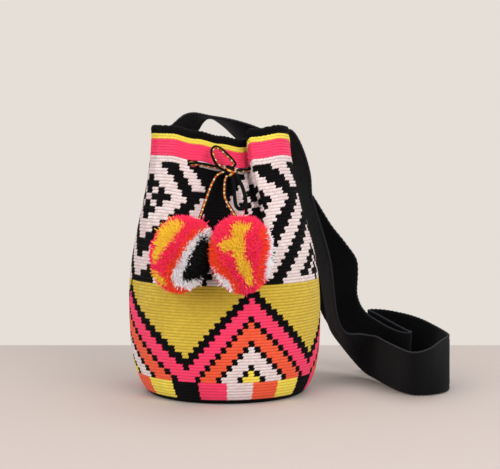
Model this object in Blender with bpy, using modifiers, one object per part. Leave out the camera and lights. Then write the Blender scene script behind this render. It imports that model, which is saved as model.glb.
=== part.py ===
"""Crocheted bucket bag with a woven shoulder strap, a drawstring and two pompoms.

Metres, +Z up. The origin is the centre of the base, on the floor that the bag
stands on. The front, with the bow and the pompoms, faces -Y.
"""

import math

import bmesh
import bpy
from mathutils import Matrix, Vector

# Bag: one crocheted wall, open at the top
BAG_HEIGHT = 0.262
BASE_HALF_WIDTH = 0.074
BELLY_HALF_WIDTH = 0.0987
BELLY_HEIGHT = 0.088
RIM_HALF_WIDTH = 0.072
RIM_LEAN = 0.006
BELLY_ROUNDNESS = 2.6
BELLY_FULLNESS = 0.45
SHOULDER_EASE = 1.15
BASE_DEPTH_SHARE = 0.95
RIM_DEPTH_SHARE = 0.88
WALL = 0.0036
BAG_SIDES = 90
BAG_ROWS = 16
BAG_ROW_CROWDING = 1.5
BASE_RING_SHARE = 0.5

# The edge of the mouth rises and dips: angle from the front in degrees, lift
RIM_LINE = (
    (-180.0, -0.016),
    (-150.0, -0.015),
    (-125.0, -0.012),
    (-105.0, -0.005),
    (-88.0, 0.004),
    (-70.0, 0.010),
    (-45.0, 0.0095),
    (-20.0, 0.006),
    (0.0, 0.000),
    (17.0, -0.0095),
    (27.0, -0.005),
    (38.0, 0.007),
    (52.0, 0.011),
    (70.0, 0.010),
    (92.0, 0.002),
    (122.0, 0.001),
    (145.0, -0.006),
    (165.0, -0.014),
)
RIM_LINE_FOOT = 0.110

# Pleat that the drawn cord pulls into the front of the mouth
FOLD_DEPTH = 0.021
FOLD_OVERLAP = 0.005
FOLD_OVERLAP_SPREAD = 8.0
FOLD_FOOT = 0.135
FOLD_START = -52.0
FOLD_ANGLE = 23.0
FOLD_END = 36.0
FOLD_EASE = 1.4
LOBE_BULGE = 0.005
LOBE_ANGLES = (-66.0, 54.0)
LOBE_SPREAD = 17.0

# Drawstring and its eyelets
CORD = 0.004
CORD_CLEARANCE = 0.0014
EYELET_DROP = 0.030
# Each eyelet's angle, and how far before and after it the cord leaves the wall
EYELETS = (
    (28.0, 8.0, 0.0),
    (98.0, 4.2, 4.2),
    (128.0, 4.2, 4.2),
    (162.0, 4.2, 4.2),
    (196.0, 4.2, 4.2),
    (232.0, 4.2, 4.2),
    (262.0, 4.2, 4.2),
    (337.0, 4.2, 4.2),
)
EYELET_HALF_WIDTH = 0.0070
EYELET_HALF_HEIGHT = 0.0038
INNER_HUG = 0.2
EYELET_CUTTER_LENGTH = 0.011
CORD_STEP_ANGLE = 8.5
KNOT_SHARE_ANGLE = 8.0
CORD_LEAD = 0.003
DRAWSTRING_LEAVES = (1.0, 0.15, -0.05)
DRAWSTRING_RETURNS = (-0.95, 0.15, 0.40)

# Knot of the bow
KNOT_ANGLE = 7.0
KNOT_DROP = 0.034
KNOT_RADIUS = 0.0065
SEAT_GAP = 0.0004
WALL_GAP = 0.0008
KNOT_SIDES = 20
KNOT_RINGS = 12

# Loops of the bow: the directions in which each leaves and meets the knot, and
# its points from the knot's centre
UPPER_LOOP_LEAVES = (-0.45, -0.50, 0.75)
UPPER_LOOP_RETURNS = (0.15, -0.35, 0.92)
UPPER_LOOP = (
    (-0.0150, -0.0070, 0.0110),
    (-0.0190, -0.0060, 0.0170),
    (-0.0140, -0.0045, 0.0230),
    (-0.0070, -0.0040, 0.0240),
    (0.0005, -0.0042, 0.0200),
)
LOWER_LOOP_LEAVES = (0.75, -0.55, 0.35)
LOWER_LOOP_RETURNS = (0.65, -0.20, -0.75)
LOWER_LOOP = (
    (0.0145, -0.0050, -0.0110),
    (0.0165, -0.0085, -0.0210),
    (0.0175, -0.0125, -0.0310),
    (0.0160, -0.0150, -0.0375),
    (0.0115, -0.0150, -0.0385),
    (0.0095, -0.0130, -0.0310),
    (0.0085, -0.0085, -0.0200),
)
LOOP_STEPS = 4

# Tails: the direction in which each leaves the knot, how its middle strays from
# a straight line, and its straight stretch beside the knot and the pompom
LEFT_TAIL_LEAVES = (-0.55, -0.55, -0.63)
LEFT_TAIL_STRAY = (0.0, -0.002, 0.0)
RIGHT_TAIL_LEAVES = (0.10, -0.45, -0.88)
RIGHT_TAIL_STRAY = (-0.007, -0.003, 0.0)
TAIL_LEAD = 0.012

# Pompoms: half sizes across, front to back and along the cord, then the shares
# by which the top sinks in and the tip stands out, and how far these reach
POMPOM_HALF_WIDTH = 0.0285
POMPOM_HALF_DEPTH = 0.025
POMPOM_HALF_LENGTH = 0.037
POMPOM_DIMPLE = 0.16
POMPOM_DIMPLE_REACH = 0.42
POMPOM_TIP = 0.06
POMPOM_TIP_REACH = 0.7
POMPOM_TRIM = 0.03
# Each pompom's angle, height and distance from the wall
LEFT_POMPOM = (-19.5, 0.1445, 0.0020)
RIGHT_POMPOM = (7.3, 0.1405, 0.0115)
POMPOM_UPRIGHT = 0.5
POMPOM_RINGS = 14
POMPOM_SIDES = 24

# Shoulder strap
STRAP_WIDTH = 0.056
STRAP_THICKNESS = 0.0026
STRAP_SPANS = 4
STRAP_STEPS = 3
LEFT_SEAM_ANGLES = (-101.0, -146.0)
RIGHT_SEAM_ANGLES = (92.0, 122.0)

# Route of the strap between its seams, in millimetres: how far the place
# belongs to the mouth (1) or to the floor (0), then its upper or outer edge,
# then its other edge. Places of the mouth count from the nominal rim, for a rim
# of the half width below, and places of the floor from the floor beside the
# belly.
STRAP_ROUTE_RIM = 0.072
STRAP_ROUTE = (
    (1.0, (-69, 10, 3), (-41, 55, 1)),
    (1.0, (-56, 10, 14), (-33, 58, 10)),
    (1.0, (-44, 10, 24), (-28, 59, 17)),
    (1.0, (-33, 11, 26.5), (-22, 61, 20)),
    (1.0, (-17, 13, 23.5), (-14, 64, 18)),
    (1.0, (-4, 16, 21.5), (-2, 67, 9)),
    (1.0, (9, 21, 19), (12, 69, -3)),
    (1.0, (25, 28, 14.5), (27, 77, -13)),
    (1.0, (38, 35, 9.5), (41, 84, -21)),
    (1.0, (47, 47, 4.5), (48, 96, -28)),
    (1.0, (53, 61, -4), (53, 107, -34)),
    (0.9, (52, 73, 9), (48, 117, -25)),
    (0.8, (54, 80, 16), (43, 120, -20)),
    (0.7, (63, 80, 18), (40, 121, -13)),
    (0.55, (69, 78, 24), (37, 116, -2)),
    (0.4, (71, 76, 42), (33, 110, 19)),
    (0.25, (69, 72, 62), (26, 104, 42)),
    (0.1, (53, 70, 69), (13, 106, 54)),
    (0.0, (49, 66, 81), (14, 106, 56)),
    (0.0, (57, 58, 71), (33, 96, 34)),
    (0.0, (72, 44, 60), (61, 72, 14)),
    (0.0, (85, 34, 55), (82, 54, 4)),
    (0.0, (94.5, 31, 53), (94, 48, 2)),
    (0.0, (99, 37, 53), (99, 54, 2)),
    (0.0, (95, 45, 55), (95, 63, 3)),
    (0.0, (85, 54, 60), (85, 74, 8)),
    (0.0, (74, 64, 66), (73, 86, 14)),
    (0.0, (63, 76, 71), (60, 100, 20)),
    (0.0, (58, 85, 72), (56, 108, 21)),
    (0.0, (62, 93, 72), (61, 114, 20)),
    (0.0, (73, 95, 71.5), (73, 112, 18)),
    (0.0, (88, 91, 70), (89, 103, 15)),
    (0.0, (104, 80, 67), (105, 90, 12)),
    (0.0, (117, 68, 63), (119, 76, 8)),
    (0.0, (129, 46, 57.5), (131, 51, 3)),
    (0.0, (134, 14, 56), (136, 16, 1.5)),
    (0.0, (132, -9, 55.5), (131.5, -11, 1.5)),
    (0.0, (122, -33, 54.5), (122, -26, 1.5)),
    (0.0, (107, -56, 50), (109, -34, 1.5)),
    (0.0, (90, -64, 49), (94, -35, 1.5)),
    (0.0, (80, -48, 48.5), (83, -20, 1.5)),
    (0.0, (69, -11, 50), (72, 15, 1.5)),
    (0.0, (60, 20, 53), (62, 47, 3)),
    (0.0, (47.5, 29, 54), (50, 64, 9)),
    (0.0, (27, 16, 58), (30, 67, 32)),
    (0.0, (17, 12, 80), (13, 64, 58)),
    (0.15, (26, 10, 87), (18, 62, 72)),
    (0.4, (46, 10, 43), (36, 62, 31)),
    (0.75, (67, 13, -3), (57, 66, -10)),
    (0.9, (79, 14, -31), (69, 68, -37)),
    (1.0, (87.5, 14, -38), (75, 66, -42)),
    (1.0, (82.5, 12, -19), (71, 59, -22)),
    (1.0, (77, 10, -5), (67.5, 51, -7)),
    (1.0, (71.5, 7, 4.5), (64, 43, 3.5)),
    (1.0, (66.5, 4, 8.8), (59.5, 36, 8)),
)
SEAM_TAPER = 8
SEAM_RISE = 0.003

MILLIMETRE = 0.001


def clear_scene():
    """Remove what a new file holds."""
    for item in list(bpy.data.objects):
        bpy.data.objects.remove(item, do_unlink=True)


def smooth_step(value):
    """Ease a value from 0 to 1."""
    share = min(max(value, 0.0), 1.0)
    return share * share * (3.0 - 2.0 * share)


def rim_lift(angle):
    """How far the edge of the mouth stands above or below its nominal height."""
    count = len(RIM_LINE)
    angle = (angle + 180.0) % 360.0 - 180.0
    for index in range(count):
        start, here = RIM_LINE[index]
        end, after = RIM_LINE[(index + 1) % count]
        end += 360.0 if end <= start else 0.0
        if start <= angle < end:
            return here + (after - here) * smooth_step((angle - start) / (end - start))
    return RIM_LINE[-1][1]


def half_width(height):
    """Half width of the bag at a nominal height."""
    if height < BELLY_HEIGHT:
        share = 1.0 - height / BELLY_HEIGHT
        swell = max(1.0 - share ** BELLY_ROUNDNESS, 0.0) ** BELLY_FULLNESS
        return BASE_HALF_WIDTH + (BELLY_HALF_WIDTH - BASE_HALF_WIDTH) * swell
    share = (height - BELLY_HEIGHT) / (BAG_HEIGHT - BELLY_HEIGHT)
    fall = 0.5 + 0.5 * math.cos(math.pi * min(share, 1.0) ** SHOULDER_EASE)
    return RIM_HALF_WIDTH + (BELLY_HALF_WIDTH - RIM_HALF_WIDTH) * fall


def bell(value, middle, spread):
    """A smooth bump of height 1."""
    return math.exp(-((value - middle) / spread) ** 2)


def pleat(angle, height):
    """How the drawn mouth is pushed: sideways, inwards at the pleat, out at the lobes."""
    angle = (angle + 180.0) % 360.0 - 180.0
    share = smooth_step((height - FOLD_FOOT) / (BAG_HEIGHT - FOLD_FOOT))
    rise = smooth_step((angle - FOLD_START) / (FOLD_ANGLE - FOLD_START)) ** FOLD_EASE
    fall = 1.0 - smooth_step((angle - FOLD_ANGLE) / (FOLD_END - FOLD_ANGLE))
    inwards = FOLD_DEPTH * min(rise, fall) * share
    sideways = -FOLD_OVERLAP * bell(angle, FOLD_END, FOLD_OVERLAP_SPREAD) * share
    bulge = LOBE_BULGE * sum(bell(angle, lobe, LOBE_SPREAD) for lobe in LOBE_ANGLES) * share
    return sideways, inwards, bulge


def bag_point(angle, height, across=None):
    """A point of the bag's outer face.

    The angle runs from the front towards +X, in degrees. The height is the
    nominal one, before the mouth's edge rises and dips. Inside the base's disc
    across gives the half width.
    """
    turn = math.radians(angle)
    share = height / BAG_HEIGHT
    wide = half_width(height) if across is None else across
    deep = wide * (BASE_DEPTH_SHARE + (RIM_DEPTH_SHARE - BASE_DEPTH_SHARE) * share)
    sideways, inwards, bulge = pleat(angle, height)
    swell = 1.0 + bulge / half_width(height)
    lift = rim_lift(angle) * smooth_step((height - RIM_LINE_FOOT) / (BAG_HEIGHT - RIM_LINE_FOOT))
    return Vector((
        swell * wide * math.sin(turn) - RIM_LEAN * share + sideways,
        -swell * deep * math.cos(turn) + inwards,
        height + lift,
    ))


def bag_normal(angle, height):
    """The direction out of the bag's wall at a point of its outer face."""
    along = bag_point(angle + 0.5, height) - bag_point(angle - 0.5, height)
    up = bag_point(angle, height + 0.0005) - bag_point(angle, height - 0.0005)
    return along.cross(up).normalized()


def off_wall(angle, height, distance):
    """A point at a distance outside the bag's outer face."""
    return bag_point(angle, height) + bag_normal(angle, height) * distance


def smooth_line(points, steps):
    """Points along a smooth curve through the given points."""
    tangents = []
    for index, point in enumerate(points):
        before = points[max(index - 1, 0)]
        after = points[min(index + 1, len(points) - 1)]
        lengths = [(other - point).length for other in (before, after) if other is not point]
        tangents.append((after - before).normalized() * min(lengths))
    line = []
    for start, end, leave, arrive in zip(points, points[1:], tangents, tangents[1:]):
        for step in range(steps):
            share = step / steps
            ease = smooth_step(share)
            line.append(
                start.lerp(end, ease)
                + leave * (share * (1.0 - share) ** 2)
                - arrive * (share ** 2 * (1.0 - share))
            )
    line.append(points[-1])
    return line


def even_line(values, steps):
    """Numbers between the given ones, in equal steps."""
    line = []
    for start, end in zip(values, values[1:]):
        line += [start + (end - start) * step / steps for step in range(steps)]
    return line + [values[-1]]


def new_collection(name):
    """Add a collection to the scene."""
    collection = bpy.data.collections.new(name)
    bpy.context.scene.collection.children.link(collection)
    return collection


def new_material(name, colour, roughness):
    """Make a plain material."""
    material = bpy.data.materials.new(name)
    material.use_nodes = True
    shader = material.node_tree.nodes["Principled BSDF"]
    shader.inputs["Base Color"].default_value = (*colour, 1.0)
    shader.inputs["Roughness"].default_value = roughness
    shader.inputs["Metallic"].default_value = 0.0
    return material


def mesh_object(name, mesh_data, material, collection):
    """Write a bmesh to a new object."""
    mesh = bpy.data.meshes.new(name)
    mesh_data.to_mesh(mesh)
    mesh_data.free()
    mesh.shade_smooth()
    mesh.materials.append(material)
    item = bpy.data.objects.new(name, mesh)
    collection.objects.link(item)
    return item


def cord_object(name, points, material, collection):
    """Make a cord along a line of points."""
    curve = bpy.data.curves.new(name, "CURVE")
    curve.dimensions = "3D"
    curve.bevel_depth = 0.5 * CORD
    curve.bevel_resolution = 2
    curve.use_fill_caps = True
    spline = curve.splines.new("POLY")
    spline.points.add(len(points) - 1)
    for place, point in zip(spline.points, points):
        place.co = (*point, 1.0)
    curve.materials.append(material)
    item = bpy.data.objects.new(name, curve)
    collection.objects.link(item)
    return item


def make_bag(collection, cutters):
    """Crochet the bag: a turned wall, pulled to its pleat, with its eyelets."""
    shell = bmesh.new()
    profile = [(0.0, 0.0), (BASE_RING_SHARE * BASE_HALF_WIDTH, 0.0)]
    for row in range(BAG_ROWS + 1):
        height = BAG_HEIGHT * (row / BAG_ROWS) ** BAG_ROW_CROWDING
        profile.append((half_width(height), height))
    line = [shell.verts.new((across, 0.0, height)) for across, height in profile]
    edges = [shell.edges.new(pair) for pair in zip(line, line[1:])]
    bmesh.ops.spin(
        shell,
        geom=line + edges,
        cent=(0.0, 0.0, 0.0),
        axis=(0.0, 0.0, 1.0),
        angle=2.0 * math.pi,
        steps=BAG_SIDES,
        use_merge=True,
        use_duplicate=False,
    )
    bmesh.ops.remove_doubles(shell, verts=shell.verts, dist=1e-6)
    for vertex in shell.verts:
        x, y, z = vertex.co
        angle = math.degrees(math.atan2(x, -y))
        vertex.co = bag_point(angle, z, math.hypot(x, y))
    bmesh.ops.recalc_face_normals(shell, faces=shell.faces)
    crochet = new_material("bag_crochet", (0.85, 0.62, 0.25), 0.9)
    bag = mesh_object("bag_body", shell, crochet, collection)
    wall = bag.modifiers.new("wall", "SOLIDIFY")
    wall.thickness = WALL
    wall.offset = -1.0
    openings = bag.modifiers.new("eyelets", "BOOLEAN")
    openings.operand_type = "COLLECTION"
    openings.collection = cutters
    openings.operation = "DIFFERENCE"
    return bag


def make_eyelet_cutters(cutters):
    """Oval bars that open the eyelets."""
    for number, (angle, _, _) in enumerate(EYELETS, start=1):
        height = BAG_HEIGHT - EYELET_DROP
        outward = bag_normal(angle, height)
        upright = Vector((0.0, 0.0, 1.0))
        sideways = upright.cross(outward).normalized()
        upright = outward.cross(sideways)
        bar = bmesh.new()
        bmesh.ops.create_cone(
            bar,
            cap_ends=True,
            segments=16,
            radius1=1.0,
            radius2=1.0,
            depth=EYELET_CUTTER_LENGTH,
        )
        turn = Matrix((sideways, upright, outward)).transposed().to_4x4()
        stretch = Matrix.Diagonal((EYELET_HALF_WIDTH, EYELET_HALF_HEIGHT, 1.0, 1.0))
        place = Matrix.Translation(off_wall(angle, height, -0.5 * WALL))
        bmesh.ops.transform(bar, matrix=place @ turn @ stretch, verts=bar.verts)
        mesh = bpy.data.meshes.new(f"eyelet_cutter_{number}")
        bar.to_mesh(mesh)
        bar.free()
        cutter = bpy.data.objects.new(mesh.name, mesh)
        cutter.hide_render = True
        cutter.display_type = "WIRE"
        cutters.objects.link(cutter)


def drawstring_point(angle, side):
    """A point of the drawstring's axis: outside (1), inside (-1) or between."""
    reach = 0.5 * WALL + 0.5 * CORD + CORD_CLEARANCE
    return off_wall(angle, BAG_HEIGHT - EYELET_DROP, side * reach - 0.5 * WALL)


def outer_run(start, end):
    """Points of the cord along the outer face between two angles."""
    runs = max(math.ceil((end - start) / CORD_STEP_ANGLE), 1)
    return [drawstring_point(start + (end - start) * run / runs, 1.0) for run in range(runs + 1)]


def inner_run(start, end):
    """Points of the cord inside, where the drawn cord cuts the corner."""
    runs = max(math.ceil((end - start) / CORD_STEP_ANGLE), 1)
    first, last = drawstring_point(start, -1.0), drawstring_point(end, -1.0)
    points = []
    for run in range(runs + 1):
        share = run / runs
        near_wall = drawstring_point(start + (end - start) * share, -1.0)
        points.append(first.lerp(last, share).lerp(near_wall, INNER_HUG))
    return points


def knot_centre():
    """Middle of the bow's knot, which rests against the front."""
    return off_wall(KNOT_ANGLE, BAG_HEIGHT - KNOT_DROP, KNOT_RADIUS + WALL_GAP)


def on_knot(direction):
    """Where a cord of that direction meets the knot."""
    return knot_centre() + Vector(direction).normalized() * (KNOT_RADIUS + SEAT_GAP)


def knot_lead(direction):
    """The two first points of a cord that leaves the knot straight."""
    start = on_knot(direction)
    return [start, start + Vector(direction).normalized() * CORD_LEAD]


def make_drawstring(material, collection):
    """The cord that runs in and out of the eyelets, from the knot to the knot."""
    starts = [KNOT_ANGLE + KNOT_SHARE_ANGLE] + [angle + after for angle, _, after in EYELETS]
    ends = [angle - before for angle, before, _ in EYELETS] + [360.0 + KNOT_ANGLE - KNOT_SHARE_ANGLE]
    points = knot_lead(DRAWSTRING_LEAVES)
    for number, (start, end) in enumerate(zip(starts, ends)):
        points += outer_run(start, end) if number % 2 == 0 else inner_run(start, end)
    points += reversed(knot_lead(DRAWSTRING_RETURNS))
    return cord_object("drawstring", points, material, collection)


def make_knot(material, collection):
    """The tied knot, a round lump that the cords leave."""
    ball = bmesh.new()
    bmesh.ops.create_uvsphere(
        ball, u_segments=KNOT_SIDES, v_segments=KNOT_RINGS, radius=KNOT_RADIUS
    )
    bmesh.ops.translate(ball, vec=knot_centre(), verts=ball.verts)
    return mesh_object("bow_knot", ball, material, collection)


def make_loop(name, leaves, places, returns, material, collection):
    """A loop of the bow, from the knot and back to it."""
    knot = knot_centre()
    points = knot_lead(leaves)
    points += [knot + Vector(place) for place in places]
    points += reversed(knot_lead(returns))
    return cord_object(name, smooth_line(points, LOOP_STEPS), material, collection)


def pompom_frame(place):
    """Centre and axes of a pompom: across, out and along its cord."""
    angle, height, stand_off = place
    centre = off_wall(angle, height, POMPOM_HALF_DEPTH + stand_off)
    along = (knot_centre() - centre).normalized()
    along = along.lerp(Vector((0.0, 0.0, 1.0)), POMPOM_UPRIGHT).normalized()
    outward = bag_normal(angle, height)
    across = outward.cross(along).normalized()
    outward = along.cross(across)
    return centre, across, outward, along


def pompom_radius(polar):
    """Share of the full size at an angle from the cord: dimpled at the top."""
    dimple = POMPOM_DIMPLE * bell(polar, 0.0, POMPOM_DIMPLE_REACH)
    tip = POMPOM_TIP * bell(polar, math.pi, POMPOM_TIP_REACH)
    return 1.0 - POMPOM_TRIM - dimple + tip


def make_swing_centre(name, collection):
    """An empty at the knot, on the axis about which a pompom swings."""
    centre = bpy.data.objects.new(name, None)
    centre.empty_display_size = KNOT_RADIUS
    centre.location = knot_centre()
    collection.objects.link(centre)
    return centre


def hang(item, centre):
    """Parent a hanging piece to the empty it swings about, where it is."""
    item.parent = centre
    item.matrix_parent_inverse = Matrix.Translation(-knot_centre())


def make_pompom(name, place, material, collection):
    """A dense heart-like pompom that hangs along its cord."""
    centre, across, outward, along = pompom_frame(place)
    ball = bmesh.new()
    bmesh.ops.create_uvsphere(
        ball, u_segments=POMPOM_SIDES, v_segments=POMPOM_RINGS, radius=1.0
    )
    for vertex in ball.verts:
        direction = vertex.co.normalized()
        reach = pompom_radius(math.acos(max(min(direction.z, 1.0), -1.0)))
        vertex.co = (
            centre
            + across * (direction.x * reach * POMPOM_HALF_WIDTH)
            + outward * (direction.y * reach * POMPOM_HALF_DEPTH)
            + along * (direction.z * reach * POMPOM_HALF_LENGTH)
        )
    return mesh_object(name, ball, material, collection)


def make_tail(name, place, leaves, stray, material, collection):
    """The cord's end from the knot down to a pompom."""
    centre, _, _, along = pompom_frame(place)
    start = on_knot(leaves)
    reach = pompom_radius(0.0) * POMPOM_HALF_LENGTH + SEAT_GAP
    end = centre + along * reach
    middle = 0.5 * (start + end) + Vector(stray)
    points = [
        start,
        start + Vector(leaves).normalized() * TAIL_LEAD,
        middle,
        end + along * TAIL_LEAD,
        end,
    ]
    return cord_object(name, smooth_line(points, LOOP_STEPS), material, collection)


def route_point(share, place):
    """A hand-set place of the strap, tied to the mouth, the floor or both."""
    mouth = Vector((RIM_HALF_WIDTH - STRAP_ROUTE_RIM, 0.0, BAG_HEIGHT))
    if place[0] < 0.0:
        mouth.x = -mouth.x
    floor = Vector((BELLY_HALF_WIDTH, 0.0, 0.0))
    return mouth * share + floor * (1.0 - share) + Vector(place) * MILLIMETRE


def seam_row(angles, up):
    """A row of the strap's end, along the edge of the mouth."""
    row = []
    for span in range(STRAP_SPANS + 1):
        angle = angles[0] + (angles[1] - angles[0]) * span / STRAP_SPANS
        foot = off_wall(angle, BAG_HEIGHT, -0.5 * WALL)
        row.append(foot + Vector((0.0, 0.0, WALL_GAP + up)))
    return row


def strap_rows():
    """Rows of points across the strap, from its left seam to its right seam."""
    outer = [route_point(share, edge) for share, edge, _ in STRAP_ROUTE]
    inner = [route_point(share, edge) for share, _, edge in STRAP_ROUTE]
    keep = [share for share, _, _ in STRAP_ROUTE]
    left, left_rise = (seam_row(LEFT_SEAM_ANGLES, up) for up in (0.0, SEAM_RISE))
    right, right_rise = (seam_row(RIGHT_SEAM_ANGLES, up) for up in (0.0, SEAM_RISE))
    outer = [left[0], left_rise[0]] + outer + [right_rise[0], right[0]]
    inner = [left[-1], left_rise[-1]] + inner + [right_rise[-1], right[-1]]
    outer = smooth_line(outer, STRAP_STEPS)
    inner = smooth_line(inner, STRAP_STEPS)
    keep = even_line([1.0, 1.0] + keep + [1.0, 1.0], STRAP_STEPS)
    last = len(outer) - 1
    rows = []
    for index, (first, second) in enumerate(zip(outer, inner)):
        gap = second - first
        free = smooth_step(min(index, last - index) / SEAM_TAPER)
        spare = (STRAP_WIDTH - gap.length) * free
        start = first - gap.normalized() * (spare * (1.0 - keep[index]))
        end = second + gap.normalized() * (spare * keep[index])
        near = left if index < last - index else right
        row = []
        for span in range(STRAP_SPANS + 1):
            share = span / STRAP_SPANS
            straight = start.lerp(end, share)
            bow = near[span] - near[0].lerp(near[-1], share)
            row.append(straight + bow * (1.0 - free))
        rows.append(row)
    return rows


def make_strap(collection):
    """The woven strap: a thick ribbon from seam to seam."""
    rows = strap_rows()
    ribbon = bmesh.new()
    bmesh.ops.create_grid(
        ribbon, x_segments=len(rows) - 1, y_segments=STRAP_SPANS, size=0.5
    )
    for vertex in ribbon.verts:
        row = round((vertex.co.x + 0.5) * (len(rows) - 1))
        span = round((vertex.co.y + 0.5) * STRAP_SPANS)
        vertex.co = rows[row][span]
    woven = new_material("strap_weave", (0.02, 0.02, 0.022), 0.85)
    strap = mesh_object("strap", ribbon, woven, collection)
    thickness = strap.modifiers.new("thickness", "SOLIDIFY")
    thickness.thickness = STRAP_THICKNESS
    thickness.offset = 0.0
    return strap


def main():
    """Build the bag."""
    clear_scene()
    parts = new_collection("mochila_bag")
    cutters = new_collection("cutters")
    make_eyelet_cutters(cutters)
    make_bag(parts, cutters)
    make_strap(parts)
    braid = new_material("cord_braid", (0.05, 0.04, 0.03), 0.9)
    make_drawstring(braid, parts)
    make_knot(braid, parts)
    make_loop(
        "bow_loop_upper", UPPER_LOOP_LEAVES, UPPER_LOOP, UPPER_LOOP_RETURNS, braid, parts
    )
    make_loop(
        "bow_loop_lower", LOWER_LOOP_LEAVES, LOWER_LOOP, LOWER_LOOP_RETURNS, braid, parts
    )
    sides = (
        ("left", LEFT_POMPOM, LEFT_TAIL_LEAVES, LEFT_TAIL_STRAY, (0.95, 0.15, 0.30)),
        ("right", RIGHT_POMPOM, RIGHT_TAIL_LEAVES, RIGHT_TAIL_STRAY, (0.95, 0.30, 0.12)),
    )
    for side, place, leaves, stray, colour in sides:
        centre = make_swing_centre(f"{side}_swing_centre", parts)
        yarn = new_material(f"{side}_pompom_yarn", colour, 0.95)
        hang(make_tail(f"{side}_tail", place, leaves, stray, braid, parts), centre)
        hang(make_pompom(f"{side}_pompom", place, yarn, parts), centre)


main()
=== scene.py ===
"""Dresses the crocheted bucket bag: stitches, yarn, braided cords, pompoms and strap.

Metres, +Z up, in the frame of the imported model. The front of the bag faces -Y.
"""

from __future__ import annotations

import logging
import math
import random
from bisect import bisect_right
from dataclasses import dataclass, field
from enum import Enum
from typing import Any, Callable, Iterable, Sequence

import bmesh
import bpy
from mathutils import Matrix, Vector

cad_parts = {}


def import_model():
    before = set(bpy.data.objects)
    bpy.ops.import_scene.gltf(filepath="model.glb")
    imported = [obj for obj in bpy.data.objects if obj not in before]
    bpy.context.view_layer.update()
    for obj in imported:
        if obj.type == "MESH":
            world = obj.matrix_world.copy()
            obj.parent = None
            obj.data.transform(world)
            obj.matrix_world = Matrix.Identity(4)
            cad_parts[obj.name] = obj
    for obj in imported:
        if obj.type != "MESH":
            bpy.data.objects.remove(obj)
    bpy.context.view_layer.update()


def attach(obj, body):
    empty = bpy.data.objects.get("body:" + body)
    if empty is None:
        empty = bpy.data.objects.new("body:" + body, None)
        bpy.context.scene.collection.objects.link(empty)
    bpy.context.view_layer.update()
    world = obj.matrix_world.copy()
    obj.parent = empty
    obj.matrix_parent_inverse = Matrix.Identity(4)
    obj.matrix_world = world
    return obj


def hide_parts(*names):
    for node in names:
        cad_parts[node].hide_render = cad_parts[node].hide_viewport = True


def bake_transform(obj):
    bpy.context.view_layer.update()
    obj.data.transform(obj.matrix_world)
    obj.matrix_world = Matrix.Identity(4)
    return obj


LOG = logging.getLogger("bucket_bag")
Place = tuple[float, float, float]
Pixel = tuple[float, float]
Corners = dict[bmesh.types.BMVert, tuple[int, int]]

BAG_BODY = "bag"
LEFT_BODY = "left_hanging"
RIGHT_BODY = "right_hanging"
MILLIMETRE = 0.001


class Yarn(Enum):
    """The yarns of the bag and its pompoms, with their colours in sRGB."""

    BLACK = (9, 7, 9)
    BRIGHT_YELLOW = (242, 216, 80)
    MUSTARD = (214, 190, 66)
    PINK = (255, 62, 112)
    ORANGE = (250, 96, 60)
    WHITE = (238, 227, 226)
    POMPOM_PINK = (255, 52, 92)
    POMPOM_ORANGE = (255, 74, 44)
    POMPOM_AMBER = (255, 192, 60)
    POMPOM_WHITE = (244, 238, 246)
    POMPOM_BLACK = (7, 6, 7)

    @property
    def label(self) -> str:
        """The yarn's name as part of a piece's name."""
        return self.name.lower()


def linear(colour: Sequence[float]) -> tuple[float, float, float, float]:
    """Turn an sRGB colour of 0 to 255 into linear light.

    Args:
        colour: Red, green and blue.

    Returns:
        The colour with an alpha of 1.
    """
    values = []
    for value in colour:
        share = value / 255.0
        values.append(share / 12.92 if share <= 0.04045 else ((share + 0.055) / 1.055) ** 2.4)
    return (values[0], values[1], values[2], 1.0)


def smooth_step(value: float) -> float:
    """Ease a value from 0 to 1."""
    share = min(max(value, 0.0), 1.0)
    return share * share * (3.0 - 2.0 * share)


def bell(value: float, middle: float, spread: float) -> float:
    """A smooth bump of height 1."""
    return math.exp(-(((value - middle) / spread) ** 2))


def between(anchors: Sequence[tuple[float, float]], value: float) -> float:
    """Read a line of straight runs.

    Args:
        anchors: Points of the line, in rising order.
        value: Where to read it.

    Returns:
        The line's height there.
    """
    index = min(max(bisect_right([a for a, _ in anchors], value) - 1, 0), len(anchors) - 2)
    (start, low), (end, high) = anchors[index], anchors[index + 1]
    return low + (high - low) * (value - start) / (end - start)


class Wire:
    """A socket's output, on which shader maths is written as Python expressions."""

    def __init__(self, graph: Graph, socket: bpy.types.NodeSocket) -> None:
        """Wrap a socket of a graph."""
        self.graph = graph
        self.socket = socket

    def _math(self, operation: str, first: Any, second: Any = None) -> Wire:
        """Add a Math node.

        Args:
            operation: The node's operation.
            first: Its first value or link.
            second: Its second value or link.

        Returns:
            The node's output.
        """
        inputs = {0: first} if second is None else {0: first, 1: second}
        return self.graph.node("ShaderNodeMath", {"operation": operation}, inputs)

    def __add__(self, other: Any) -> Wire:
        """Add."""
        return self._math("ADD", self, other)

    __radd__ = __add__

    def __mul__(self, other: Any) -> Wire:
        """Multiply."""
        return self._math("MULTIPLY", self, other)

    __rmul__ = __mul__

    def sine(self) -> Wire:
        """The sine of the value."""
        return self._math("SINE", self)

    def absolute(self) -> Wire:
        """The value without its sign."""
        return self._math("ABSOLUTE", self)


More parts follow.
